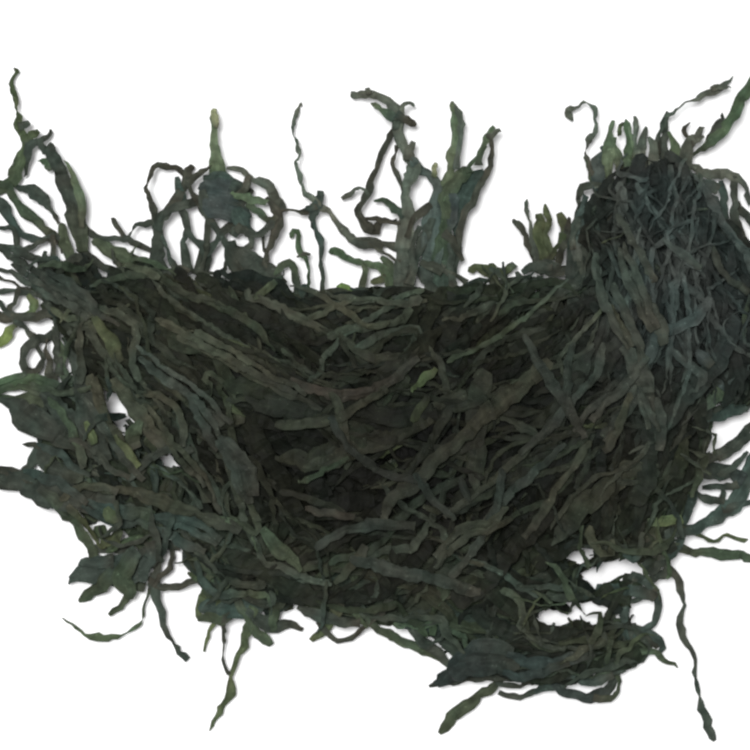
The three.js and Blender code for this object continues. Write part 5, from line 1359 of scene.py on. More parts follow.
# The single strips on top of the heap, the lowest first.
RIBBONS: tuple[Stray, ...] = (
    Stray("west upper leaf", Tone.SLATE, 3, ((-150, 1.6, 2.8), (-145.2, 0, 5.6), (-141.2, -3.2, 8.8),
        (-136.4, -6.4, 10.4), (-130.8, -10, 10.4), (-124.4, -13.6, 9.6), (-117.2, -17.6, 7.2))),
    Stray("west upper back", Tone.SLATE, 3, ((-133.2, 4.4, 4.8), (-128.4, 0, 7.2), (-123.6, -5.6, 8),
        (-118.8, -11.2, 8), (-114, -16.8, 7.2), (-109.2, -22, 5.6))),
    Stray("west column", Tone.SLATE, 3, ((-118.8, 11.6, 4.8), (-116.4, 5.2, 7.2), (-114.8, -2, 8.8),
        (-113.2, -9.2, 9.6), (-110.8, -16.4, 8.8), (-107.6, -23.6, 6.4))),
    Stray("west tongue", Tone.SLATE, 2, ((-153.2, -31.2, 8.8), (-147.6, -31.2, 9.6), (-142, -31.6, 10),
        (-136.4, -32.8, 12), (-130, -34.8, 13.6), (-122, -36.8, 12.8), (-113.2, -39.2, 9.6),
        (-103.6, -40.8, 6.4))),
    Stray("west shoulder leaf", Tone.SLATE, 3, ((-134, -18, 3.2), (-132.4, -21.2, 6),
        (-129.2, -25.2, 8), (-123.6, -28, 8), (-116.4, -29.2, 5.6)), root=Tone.BARK),
    Stray("west hem", Tone.MOSS, 3, ((-112.8, -63.6, 4.4), (-112.8, -59.2, 4.8), (-115.2, -54.8, 4.8),
        (-118.4, -50, 4.8), (-122.4, -45.2, 5.2), (-126.4, -41.2, 4.8), (-130.4, -37.2, 4),
        (-134, -33.6, 3.2)), root=Tone.SLATE),
    Stray("west olive edge", Tone.SAGE, 3, ((-110.4, -58.8, 1.2), (-111.2, -54.8, 1.6),
        (-113.2, -51.2, 2), (-116.4, -47.6, 2.4), (-119.6, -44.4, 2.8), (-123.2, -41.2, 2.4))),
    Stray("west low leaf", Tone.TEAL, 2, ((-116.4, -40, 4), (-111.2, -43.2, 7.2), (-104.8, -44.8, 9.6),
        (-98, -45.2, 9.6), (-91.2, -46, 8.8), (-84.4, -49.2, 6.4)), root=Tone.MOSS, strands=2),
    Stray("west dark leaf", Tone.TEAL, 2, ((-90, -46.8, 4.8), (-83.6, -48.4, 10.4), (-76.4, -50, 11.2),
        (-70, -53.2, 10.4), (-63.6, -57.6, 8)), strands=3),
    Stray("west ragged leaf", Tone.TEAL, 3, ((-122.8, -72.4, 0.8), (-120, -70, 3.2), (-116, -68.4, 7.2),
        (-110.8, -67.2, 10.4), (-104.4, -66.8, 12), (-98, -66, 12), (-91.6, -62.8, 9.6),
        (-86, -58, 6.4))),
    Stray("west ragged foot", Tone.MOSS, 3, ((-118.4, -78.8, 1.6), (-114.8, -76.8, 4.8),
        (-111.2, -74, 6), (-106.8, -70, 6.8), (-102, -65.6, 5.6)), root=Tone.TEAL),
    Stray("west ragged brow", Tone.TEAL, 3, ((-118.8, -64.8, 1.2), (-115.2, -63.6, 3.6),
        (-110.4, -63.2, 5.2), (-104.8, -63.2, 5.6))),
    Stray("west ragged tongue", Tone.MOSS, 3, ((-98, -78.4, 4.4), (-99.6, -74.4, 6.8),
        (-101.2, -69.6, 7.2), (-98.8, -64, 7.2), (-94.8, -58.8, 5.6)), root=Tone.TEAL),
    Stray("west ragged side", Tone.TEAL, 3, ((-92.8, -72, 3.2), (-91.6, -66.8, 5.2), (-90, -61.2, 5.6),
        (-90, -55.2, 4))),
    Stray("west square leaf", Tone.SAGE, 3, ((-109.6, -58.4, 2), (-107.2, -55.6, 5.2),
        (-103.6, -53.2, 5.6), (-101.2, -51.2, 2.4)), root=Tone.MOSS),
    Stray("west long rail", Tone.BARK, 2, ((-110.8, -35.2, 2.4), (-105.2, -35.2, 2.8),
        (-99.6, -34.8, 4), (-94, -36, 4.8), (-88, -38.4, 5.2), (-81.2, -41.2, 5.2), (-74, -43.6, 5.2),
        (-66.8, -46, 4.8), (-59.6, -48.4, 4.4), (-54, -50.8, 3.2))),
    Stray("west slot left", Tone.BARK, 2, ((-114, 10.8, 5.6), (-111.2, 5.2, 5.2), (-110, -0.4, 4.8),
        (-108.4, -6, 4.8), (-105.6, -11.6, 5.6), (-102, -17.2, 6), (-98, -22.8, 5.6),
        (-92.8, -28.4, 4))),
    Stray("west slot right", Tone.BARK, 2, ((-105.2, 10, 4.4), (-101.2, 4.8, 5.2), (-96.8, -1.2, 5.2),
        (-92.8, -7.6, 5.2), (-87.6, -14, 5.6), (-81.6, -19.6, 4.4))),
    Stray("west slot foot", Tone.MOSS, 2, ((-92.8, -7.2, 2.8), (-95.6, -10.4, 4.8), (-97.6, -14, 5.2),
        (-95.2, -18, 4))),
    Stray("west bow", Tone.BARK, 2, ((-96, 2.4, 1.6), (-90.8, 3.6, 2.4), (-85.2, 2, 2.4),
        (-80, -1.2, 2.8), (-77.2, -6.8, 3.6), (-76.4, -12.4, 3.6), (-77.6, -17.2, 3.2))),
    Stray("west cross", Tone.SLATE, 2, ((-98.8, -30.8, 2.4), (-93.6, -25.6, 3.2), (-89.2, -21.6, 3.2),
        (-84, -18.8, 3.2), (-78.4, -18, 3.2), (-72.8, -18.4, 2.8))),
    Stray("west pale slip", Tone.SAGE, 1.5, ((-102.8, -13.6, 1.6), (-99.2, -18.8, 2.4),
        (-95.2, -23.6, 2.4))),
    Stray("west first spot", Tone.SAGE, 1, ((-138.8, -2.8, 1.6), (-137.6, -4.8, 3.2),
        (-136.8, -7.2, 2))),
    Stray("west second spot", Tone.SAGE, 1, ((-116.4, -6.4, 2), (-114.8, -11.6, 3.6),
        (-113.2, -16.8, 2.4))),
    Stray("west third spot", Tone.SAGE, 1, ((-107.6, -42, 3.2), (-105.2, -45.2, 4.4),
        (-102.4, -47.2, 3.2))),
    Stray("north west band", Tone.SLATE, 4, ((-153.2, 62.4, 6), (-148, 60, 8), (-142, 56.8, 8.8),
        (-136, 52.8, 8.8), (-130, 48.4, 8.8), (-124, 44, 9.6), (-118, 39.6, 9.6), (-111.6, 34.4, 7.2),
        (-103.6, 28.8, 5.2)), strands=3),
    Stray("north west ribbon", Tone.SLATE, 6, ((-130, 104, 1.6), (-129.6, 100.8, 4), (-127.6, 97.2, 6),
        (-126, 93.2, 6.8), (-124.4, 89.2, 7.2), (-122.8, 84.8, 6.8), (-121.2, 80.4, 6.4),
        (-120, 76, 6.8), (-118.8, 71.6, 6.8), (-118, 66.8, 6.4), (-116.4, 60.4, 4.8)), root=Tone.MOSS),
    Stray("north west ribbon edge", Tone.FERN, 6, ((-124.4, 97.2, 1.2), (-122, 93.2, 2),
        (-120, 88.8, 2.8), (-118.4, 84.4, 3.2), (-117.2, 79.6, 3.2), (-116.8, 74.8, 2.8),
        (-117.2, 70, 2))),
    Stray("south fold back", Tone.NIGHT, 5, ((23.6, -112.4, 1.6), (28.4, -109.2, 4.8),
        (32.8, -105.6, 8), (38, -101.6, 10.4), (43.6, -99.6, 11.2), (50, -99.6, 9.6),
        (54.8, -100.8, 5.6)), root=Tone.SLATE),
    Stray("south fold front", Tone.NIGHT, 5, ((25.2, -112.8, 2), (29.6, -110, 4), (34.8, -107.2, 6.4),
        (40.4, -104.8, 8.8), (46.8, -104, 9.6), (52.8, -105.2, 7.2), (57.2, -104.4, 4))),
    Stray("south teal rail one", Tone.NIGHT, 4, ((53.2, -100.4, 4), (60.4, -103.2, 4.8),
        (69.2, -104.4, 4.8), (78, -102.8, 4.8), (86.8, -98.8, 4))),
    Stray("south teal rail two", Tone.NIGHT, 4, ((50.8, -108, 3.2), (57.2, -109.6, 3.6),
        (64.4, -108.4, 4), (70.8, -106, 3.6), (77.2, -104, 3.6))),
    Stray("east pale strip two", Tone.SLATE, 1.5, ((134, 63.6, 2.4), (136.4, 58, 3.2),
        (139.2, 52.8, 3.2), (143.6, 48.4, 3.2), (149.2, 43.6, 2.8))),
    Stray("east long strip one", Tone.SLATE, 1.5, ((100.4, 52, 3.6), (104.8, 47.6, 4.8),
        (107.6, 42.4, 5.2), (110.8, 36.8, 4.8), (114.4, 30.4, 4.4), (116, 23.2, 3.6))),
    Stray("east long strip two", Tone.BARK, 1.5, ((90, 42, 2.8), (96, 34.8, 3.6), (99.6, 28.4, 3.6),
        (102.8, 22.8, 2.8))),
    Stray("east broad patch", Tone.SLATE, 1.5, ((98.8, 22.8, 3.6), (102.8, 18, 6), (106, 11.6, 8),
        (109.2, 4.4, 5.6), (112.4, -6.8, 3.6))),
    Stray("east patch leg", Tone.SLATE, 1.5, ((103.6, 7.6, 3.2), (100, -1.2, 3.2), (96.4, -8.4, 3.2),
        (92.4, -15.6, 2.8))),
    Stray("east fall", Tone.SLATE, 1.5, ((113.2, 2, 2.8), (114, -5.2, 3.6), (114.4, -12.4, 3.6),
        (113.2, -18.8, 2.8))),
    Stray("east blue spot", Tone.SEA, 1.5, ((128.4, 21.2, 2.4), (131.6, 18, 4.8), (134.8, 14.8, 3.2))),
    Stray("great diagonal", Tone.BARK, 2.5, ((70, 17, 5), (64, 11, 7.4), (56, 5, 7.6), (46, -3, 6.4),
        (38, -11, 5.4), (30, -18, 5.2), (22, -25, 5), (15, -33, 5.6), (8, -37, 5), (4, -43, 4),
        (3, -50, 3))),
    Stray("brown bow", Tone.RUST, 1.5, ((-34, 9.2, 3.2), (-26, 5.6, 4.4), (-18, 3.6, 4.8),
        (-10, 3.2, 4.4), (-1.2, 4.8, 4), (6, 8.8, 3.6), (11.6, 13.2, 3.6), (17.2, 18, 2.8))),
    Stray("brown bow tail", Tone.BARK, 1.5, ((-18, 4, 3), (-14, -3, 3.6), (-12, -12, 3),
        (-8, -21, 2.6))),
    Stray("olive bar", Tone.BARK, 1.5, ((-40, -9, 3), (-26, -8, 4), (-14, -6, 4), (-5, 0, 3.4),
        (5, 6, 3)), root=Tone.BARK),
    Stray("middle slant", Tone.SLATE, 1.5, ((-18, -5, 2.6), (-12, -16, 2.8), (-3, -24, 3), (6, -29, 3),
        (20, -31, 2.6))),
    Stray("green wisp", Tone.MOSS, 1.5, ((-31, -32, 1.8), (-22, -28, 2.4),
        (-11, -22, 2)), root=Tone.MOSS),
    Stray("east rake one", Tone.BARK, 1.5, ((68, -12, 2), (58.8, -20.8, 2.4), (52, -26.8, 2.8),
        (45.2, -32.4, 2.8), (38, -38, 2.8), (28, -46, 2))),
    Stray("east rake two", Tone.SLATE, 1.5, ((76, -16, 2.4), (71.2, -21.2, 3.2), (66, -26, 3.2),
        (58, -32.4, 3.2), (52, -38, 3.6), (42, -50, 2.4))),
    Stray("east rake three", Tone.BARK, 1.5, ((86, -14.8, 2.4), (82, -21.2, 3.2), (78, -26.8, 3.2),
        (73.2, -34, 3.2), (68, -42, 3.6), (60, -54, 2.4))),
    Stray("east rake four", Tone.SLATE, 1.5, ((51, -26, 2.4), (49, -39, 3.2), (42, -55, 3.4),
        (30, -70, 3))),
    Stray("broad low strip", Tone.BARK, 1.5, ((56, -42, 4), (48, -48, 7), (38, -51, 8), (29, -58, 7),
        (21, -69, 5)), strands=2),
    Stray("south bow", Tone.SLATE, 1.5, ((-24, -58, 3), (-12, -51, 4.2), (0, -49, 4.2),
        (16, -49, 3.4))),
    Stray("south prong", Tone.BARK, 1.5, ((-16, -72, 3), (-9, -65, 3.8), (-3, -57, 3))),
    Stray("south sweep", Tone.SLATE, 1.5, ((-10, -62, 3.6), (8, -67, 5), (26, -71, 4.6),
        (42, -76, 3.4))),
    Stray("purple strip", Tone.RUST, 1.5, ((-28, -42, 2.4), (-18, -44, 3.2), (-8, -46, 2.6))),
    Stray("small cross", Tone.SLATE, 1.5, ((16, -28, 2.4), (22, -37, 3), (32, -47, 2.6))),
    Stray("small leaf", Tone.SLATE, 2, ((34, -30, 1), (36, -34, 3.4), (37.5, -39, 1.6))),
    Stray("west broad run", Tone.BARK, 2, ((-88, 34, 5), (-78, 29, 7.4), (-60, 19, 7.8), (-44, 10, 7),
        (-28, 2, 6), (-16, -5, 4)), strands=3),
    Stray("west second run", Tone.SLATE, 1.5, ((-96, 22, 4), (-84, 12, 5.4), (-68, 0, 5.4),
        (-54, -12, 4)), strands=2),
    Stray("west lit strip", Tone.SAGE, 1.5, ((-112.4, 35, 3.2), (-108.8, 29.2, 4.4), (-105, 23.2, 4.8),
        (-101.6, 16, 3.2)), root=Tone.BARK),
    Stray("west long drop", Tone.BARK, 1.5, ((-95, 3, 4), (-88, -7, 5), (-80, -18, 5), (-70, -30, 4.4),
        (-62, -44, 3.4)), strands=2),
    Stray("west short drop", Tone.SLATE, 1.5, ((-76, 4, 4), (-68, -6, 5), (-61, -18, 4.4)), strands=2),
    Stray("west patch", Tone.SLATE, 1.5, ((-63, -14, 5), (-57, -23, 9), (-52, -34, 8),
        (-48, -44, 4)), strands=2),
    Stray("olive blade", Tone.MOSS, 1.5, ((-45.2, -50, 3.2), (-42.8, -54, 4.8), (-39.2, -58, 5.6),
        (-34, -62, 4.8), (-29.2, -66.8, 2.8)), root=Tone.MOSS),
    Stray("lime curl", Tone.OLIVE, 1.5, ((14.4, 4.8, 1.6), (16.8, 7.2, 2.4), (19.6, 9.6, 3.2),
        (22.4, 11.2, 2.8), (24.8, 14, 1.6)), root=Tone.SAGE),
    Stray("lime curl low", Tone.SAGE, 1.5, ((14.4, -7.2, 2.4), (17.2, -4, 3.6), (19.2, -0.4, 3.2),
        (20.8, 2.8, 2))),
    Stray("horn long strip one", Tone.SLATE, 1.5, ((98, 66, 3), (101, 55, 4.6), (106, 43, 5),
        (111, 31, 4.6), (117, 20, 3.4)), strands=2),
    Stray("horn long strip two", Tone.SLATE, 1.5, ((88, 60, 2.4), (90, 45, 3.4), (95, 33, 3.4),
        (101, 22, 2.6))),
    Stray("horn long strip three", Tone.SLATE, 1.5, ((97, 76, 2.4), (101, 68, 3), (107, 58, 3),
        (112, 48, 2.4))),
    Stray("horn long strip four", Tone.SLATE, 1.5, ((95, 48, 2.6), (99, 38, 3.4), (104, 28, 3.4),
        (107, 16, 3))),
    Stray("horn foot", Tone.SLATE, 2, ((111, 24, 4), (105, 14, 6), (98, 5, 6.4), (89, -2, 6),
        (78, -13, 4)), strands=2),
    Stray("horn inner run", Tone.SLATE, 1.5, ((91, 24, 2.6), (88, 11, 3.6), (78, 0, 3.6),
        (68, -12, 3.4), (58, -20, 2.6))),
    Stray("notch run", Tone.SLATE, 1.5, ((60, 27, 3), (66, 15, 4.2), (74, 3, 4), (80, -8, 3))),
    Stray("notch second run", Tone.SLATE, 1.5, ((79, 24, 2.6), (77, 12, 3.4), (78, -2, 3.4),
        (84, -14, 2.6))),
    Stray("east flat", Tone.SLATE, 1.5, ((104, 8, 3.4), (108, -2, 5), (112, -12, 4.4)), strands=2),
    Stray("east flat twin", Tone.BARK, 1.5, ((102, 4, 2.6), (98, -8, 3.4), (92, -20, 2.8))),
    Stray("east olive slip", Tone.HAZE, 1.5, ((114.8, 65.2, 2), (120.4, 60.8, 3.2), (126, 57.2, 3.2),
        (130.8, 54, 2)), root=Tone.SLATE),
    Stray("west shoulder crease", Tone.MOSS, 1, ((-130.8, 2, 1.6), (-126.8, -2, 2.8),
        (-122.8, -7.2, 3.2), (-120.4, -13.2, 3.6), (-118, -19.6, 3.6), (-116.4, -26, 2.8))),
    Stray("west shoulder crease two", Tone.TEAL, 1, ((-135.6, -16.4, 2), (-130, -18.4, 2.8),
        (-124.4, -21.6, 3.2), (-119.6, -26, 3.2), (-114, -29.2, 2.4))),
    Stray("west shoulder crease three", Tone.BARK, 1, ((-126, -38.8, 2.4), (-121.2, -35.6, 3.2),
        (-115.6, -33.2, 3.6), (-110, -33.2, 3.2), (-102.8, -35.6, 2.4))),
    Stray("west shoulder crease four", Tone.SLATE, 1, ((-116.4, 2, 2), (-112.4, -3.6, 3.2),
        (-108.4, -10, 3.6), (-103.6, -17.2, 3.6), (-98, -24.4, 3.2), (-92.4, -30.8, 2.4))),
    Stray("west pale curve", Tone.SAGE, 1, ((-103.6, -13.2, 1.6), (-100.4, -17.2, 2.4),
        (-97.6, -21.2, 2.8), (-94.4, -25.2, 2)), root=Tone.OLIVE),
    Stray("west olive spot", Tone.OLIVE, 1, ((-115.6, -6.8, 2), (-114, -11.6, 3.2),
        (-112, -16.4, 2.8)), root=Tone.SAGE),
    Stray("west teal drift", Tone.TEAL, 1, ((-140.4, -26.8, 2.4), (-134, -29.2, 3.6),
        (-127.6, -31.6, 4), (-120.4, -35.6, 3.6), (-114.8, -40.4, 2.4))),
    Stray("west shoulder web", Tone.UMBER, 1, ((-122, -14.8, 1.6), (-115.6, -17.2, 2.4),
        (-109.2, -22, 2.8), (-105.2, -26.8, 2.4), (-98, -30, 2))),
)


@dataclass(frozen=True)
class Tear:
    """How a broad strip is torn lengthwise: how the ends, places and widths of its strands vary."""

    back: float = 0.22
    aside: float = 0.12
    wander: float = 0.8
    longest_wander: float = 40.0
    width: Pair = (0.8, 1.35)


@dataclass
class StrayStrips:
    """Lays the single strips that stray past the heap's edge, or that lie on top of it.

    A strip keeps its tip's tone up to tip_share of its way, and then fades to its root's.
    """

    layer: Layer
    cut: Cut = Kind.SINGLE.value
    sight: Sight = Sight()
    tearing: Tear = Tear()
    end_height: float = 1.6
    crinkle: float = 0.35
    longest_crinkle: float = 24.0
    narrowed: Pair = (2.0, 0.7)
    tip_share: float = 0.55
    fade: float = 2.0
    darkest: float = 1.0
    shade: Pair = (0.97, 1.23)

    def smooth(self, route: Array) -> Array:
        """Runs a smooth curve through the points of a route.

        Args:
            route: Rows of x, y and width.

        Returns:
            Rows of x, y and width, one for each step along the curve.
        """
        ends = np.vstack([2 * route[0] - route[1], route, 2 * route[-1] - route[-2]])
        rows = []
        for a, b, c, d in zip(ends[:-3], ends[1:-2], ends[2:-1], ends[3:]):
            count = max(2, int(np.linalg.norm((c - b)[:2]) / self.cut.step))
            t = (np.arange(count) / count)[:, None]
            bend = 2 * b + t * (c - a) + t**2 * (2 * a - 5 * b + 4 * c - d)
            rows.append((bend + t**3 * (3 * b - a - 3 * c + d)) / 2)
        return np.vstack([*rows, route[-1:]])

    def tear(self, rows: Array, strands: int) -> list[Array]:
        """Tears a broad strip lengthwise into strands that lie beside each other.

        Args:
            rows: Rows of x, y and width along the broad strip.
            strands: How many strands it is torn into.

        Returns:
            The rows of each strand.
        """
        if strands == 1:
            return [rows]
        random, tearing = self.layer.random, self.tearing
        along = unit(np.gradient(rows[:, :2], axis=0))
        torn = []
        for strand in range(strands):
            first, last = (int(len(rows) * random.uniform(0, tearing.back)) for _ in range(2))
            part = rows[first : len(rows) - last].copy()
            way = along[first : len(rows) - last]
            off_line = (strand + 0.5) / strands - 0.5 + random.uniform(-tearing.aside, tearing.aside)
            waves = Waves(random, longest=tearing.longest_wander)
            wander = waves.along(np.arange(len(part)) * self.cut.step)
            aside = part[:, 2] * off_line + tearing.wander * wander
            part[:, 0] -= way[:, 1] * aside
            part[:, 1] += way[:, 0] * aside
            part[:, 2] *= random.uniform(*tearing.width) / strands
            torn.append(part)
        return torn

    def lay(self, strays: tuple[Stray, ...], resting: bool = False) -> list[Strip]:
        """Lays each single strip from its loose end inwards.

        Args:
            strays: The strips to lay, the lowest first.
            resting: Whether their arch is measured from the heap, not from the table.

        Returns:
            The strips, each with its tint.
        """
        strips = []
        for stray in strays:
            route = self.smooth(np.array(stray.route, float))
            for rows in self.tear(route, stray.strands):
                strips.append(self.lay_one(stray, rows, resting))
        return strips

    def lay_one(self, stray: Stray, rows: Array, resting: bool) -> Strip:
        """Lays one single strip, or one strand of it.

        Args:
            stray: The strip it is, or is torn from.
            rows: Rows of x, y and width on its way, as they are seen.
            resting: Whether its arch is measured from the heap, not from the table.

        Returns:
            The strip, with its tint.
        """
        random, table = self.layer.random, self.layer.table
        distance = np.arange(len(rows)) * self.cut.step
        waves = Waves(random, longest=self.longest_crinkle)
        rows[:, 0] += self.crinkle * waves.along(distance)
        rows[:, 1] += self.crinkle * waves.along(distance)
        taper = np.clip(np.arange(len(rows)) / self.narrowed[0] + self.narrowed[1], 0, 1)
        seen = self.layer.crumple(rows[:, :2], rows[:, 2] * taper, self.cut)
        share = np.linspace(0, 1, len(rows))
        over = table.cells(*self.sight.place(seen.line, self.end_height).T)
        start = np.maximum(table.pile_top[over], self.end_height)
        strip = replace(seen, line=seen.line.copy())
        strip.line[:, :2] = self.sight.place(seen.line, start)
        arch = stray.arch * np.sin(math.pi * share)
        if resting:
            self.layer.drape(strip, lift=arch)
        else:
            self.layer.drape(strip, free=self.end_height + arch)
        strip.line[:, :2] = self.sight.place(seen.line, strip.line[:, 2])
        tip, root = np.array(stray.tone.value), np.array(stray.root.value)
        fade = np.clip((share - self.tip_share) * self.fade, 0, 1)[:, None]
        # painted shade, darker towards the heap's middle
        middle_shade = self.layer.middle_shade.light(strip.line, self.darkest)
        strip.tint = (tip * (1 - fade) + root * fade) * random.uniform(*self.shade) * middle_shade
        return strip


@dataclass
class Sheaf:
    """Many strips joined into one mesh, each a thin lens in section, closed at both ends."""

    name: str
    strips: list[Strip]
    across: int = 5
    blunt: float = 0.45
    least_curl: float = 0.05
    ruffle: float = 0.16
    ruffle_pace: float = 2.0
    ragged: float = 0.22
    rough: float = 0.16
    lowest: float = 0.08
    lowest_skin: float = 0.02
    margin: float = 0.6
    slack: float = 1.04
    girth_slack: float = 0.2
    cap: float = 0.5
    disc_size: float = 0.8
    disc_before: float = 0.9
    disc_after: float = 1.1
    strand_spread: float = 900.0
    seed: int = 7

    @property
    def around(self) -> int:
        """How many points there are round a strip."""
        return 2 * self.across - 2

    def rings(self, strip: Strip, waves: Waves) -> Array:
        """The points round a strip at each point of its middle line.

        Args:
            strip: The strip.
            waves: Where its ruffled edges come from.

        Returns:
            An array of rings by points by x, y and z, in millimetres.
        """
        along = unit(np.gradient(strip.line, axis=0))
        side = unit(np.cross([0.0, 0.0, 1.0], along))
        up = np.cross(along, side)
        cosine, sine = np.cos(strip.roll)[:, None], np.sin(strip.roll)[:, None]
        side, up = side * cosine + up * sine, up * cosine - side * sine
        even = np.linspace(-1, 1, self.across)
        place = np.sign(even) * np.abs(even) ** self.blunt
        loop = np.concatenate([place, place[-2:0:-1]])[None, :]
        face = np.concatenate([np.ones(self.across), -np.ones(self.across - 2)])[None, :]
        half = strip.width[:, None] / 2
        bend = np.where(np.abs(strip.curl) < self.least_curl, self.least_curl, strip.curl)[:, None]
        out = half * np.sin(bend * loop) / bend
        rise = half * (1 - np.cos(bend * loop)) / bend - half * bend / 6
        distance = np.arange(len(strip.line)) * STEP
        for way in (-1, 1):
            edge = np.clip(way * loop, 0, None) ** 2
            ruffle = self.ruffle * strip.width * waves.along(distance * self.ruffle_pace)
            rise = rise + edge * ruffle[:, None]
            out = out + way * self.ragged * waves.random.normal(size=len(distance))[:, None] * (edge > 0)
        rise = rise + face * strip.thickness / 2 * (1 - loop**4)
        rise = rise + self.rough * waves.random.normal(size=(len(distance), 1)) * loop
        rise = rise + self.rough * waves.random.normal(size=(len(distance), 1)) * (1 - loop**2)
        ring = strip.line[:, None, :] + side[:, None, :] * out[..., None]
        ring = ring + up[:, None, :] * rise[..., None]
        ring[..., 2] = np.maximum(ring[..., 2], self.lowest + self.lowest_skin * face)
        return ring

    def corners(self, sizes: list[Pair]) -> tuple[list[Pair], float]:
        """Packs one rectangle for each strip in rows, for the baked picture.

        Args:
            sizes: Each rectangle's length and height.

        Returns:
            Each rectangle's lower left corner, and the side of the square that holds them all.
        """
        margin = self.margin
        area = sum((length + margin) * (height + margin) for length, height in sizes)
        longest = max(length for length, _ in sizes)
        row_length = max(math.sqrt(area) * self.slack, longest + margin)
        corners, x, y, row_height = [], 0.0, 0.0, 0.0
        for length, height in sizes:
            if x + length + margin > row_length:
                x, y, row_height = 0.0, y + row_height + margin, 0.0
            corners.append((x, y))
            x += length + margin
            row_height = max(row_height, height)
        return corners, max(row_length, y + row_height + margin)

    def skin(self, first: int, count: int) -> list[list[int]]:
        """The faces round a strip, and one over each of its ends.

        Args:
            first: The number of the strip's first point.
            count: How many rings of points it has.

        Returns:
            The points of each face.
        """
        index = first + np.arange(count * self.around).reshape(count, self.around)
        turned = np.roll(index, -1, axis=1)
        quads = np.stack([index[:-1], index[1:], turned[1:], turned[:-1]], axis=-1)
        return [*quads.reshape(-1, 4).tolist(), index[0].tolist(), index[-1][::-1].tolist()]

    def strand(self, strip: Strip, distance: Array, offset: float) -> Array:
        """Where the points of a strip's skin lie on the strip, which its wrinkles follow.

        Args:
            strip: The strip.
            distance: How far along it each ring of points is.
            offset: A number that keeps its wrinkles apart from those of other strips.

        Returns:
            Rows of the place along the strip, the place across it and the offset.
        """
        place = np.abs(np.linspace(-1, 1, self.around, endpoint=False))
        strand = np.empty((len(distance), self.around, 3))
        strand[..., 0] = distance[:, None]
        strand[..., 1] = (place * 2 - 1)[None, :] * strip.width[:, None] / 2
        strand[..., 2] = offset
        return strand.reshape(-1, 3)

    def island(self, corner: Pair, girth: float, distance: Array) -> list[Array]:
        """Lays a strip's faces out flat for the baked picture, its ends as a disc at either side.

        Args:
            corner: The lower left corner of its rectangle.
            girth: How far it is round the strip.
            distance: How far along it each ring of points is.

        Returns:
            The places of its faces' corners, in the order of its faces.
        """
        around, cap = self.around, self.cap
        u = corner[0] + 2 * cap + distance
        v = corner[1] + girth * np.arange(around + 1) / around
        low, high, left, right = v[:-1], v[1:], u[:-1], u[1:]
        island = np.empty((len(distance) - 1, around, 4, 2))
        island[..., 0, 0] = island[..., 3, 0] = left[:, None]
        island[..., 1, 0] = island[..., 2, 0] = right[:, None]
        island[..., 0, 1] = island[..., 1, 1] = low[None, :]
        island[..., 2, 1] = island[..., 3, 1] = high[None, :]
        maps = [island.reshape(-1, 2)]
        turn = 2 * math.pi * np.arange(around) / around
        before, after = corner[0] + self.disc_before * cap, u[-1] + self.disc_after * cap
        for middle, way in ((before, 1), (after, -1)):
            disc = np.column_stack([np.cos(turn * way), np.sin(turn * way)]) * cap * self.disc_size
            maps.append(disc + [middle, corner[1] + cap])
        return maps

    def build(self) -> bpy.types.Object:
        """Joins the strips into one object at the origin.

        Returns:
            The object, with its tint and strand attributes and its own map for baking.
        """
        random = np.random.default_rng(self.seed)
        waves = Waves(random)
        lengths = [np.linalg.norm(np.diff(s.line, axis=0), axis=1).sum() for s in self.strips]
        girths = [2 * float(s.width.max()) + self.girth_slack for s in self.strips]
        corners, square = self.corners([
            (length + 4 * self.cap, max(girth, 2 * self.cap)) for length, girth in zip(lengths, girths)
        ])
        points, faces, tints, strands, maps = [], [], [], [], []
        first = 0
        for strip, length, girth, corner in zip(self.strips, lengths, girths, corners):
            ring = self.rings(strip, waves)
            distance = np.linspace(0, length, len(ring))
            points.append(ring.reshape(-1, 3))
            faces.extend(self.skin(first, len(ring)))
            tints.append(np.repeat(strip.tint, self.around, axis=0))
            strands.append(self.strand(strip, distance, random.uniform(0, self.strand_spread)))
            maps.extend(self.island(corner, girth, distance))
            first += len(ring) * self.around
        mesh = bpy.data.meshes.new(self.name)
        mesh.from_pydata((np.vstack(points) * MM).tolist(), [], faces)
        tint = mesh.attributes.new("tint", "FLOAT_COLOR", "POINT")
        tint.data.foreach_set("color", np.column_stack([np.vstack(tints), np.ones(first)]).ravel())
        strand = mesh.attributes.new("strand", "FLOAT_VECTOR", "POINT")
        strand.data.foreach_set("vector", (np.vstack(strands) * MM).ravel())
        bake = mesh.uv_layers.new(name="OFBake")
        bake.uv.foreach_set("vector", (np.vstack(maps) / square).ravel())
        mesh.shade_flat()
        mesh.update()
        return put(self.name, mesh)


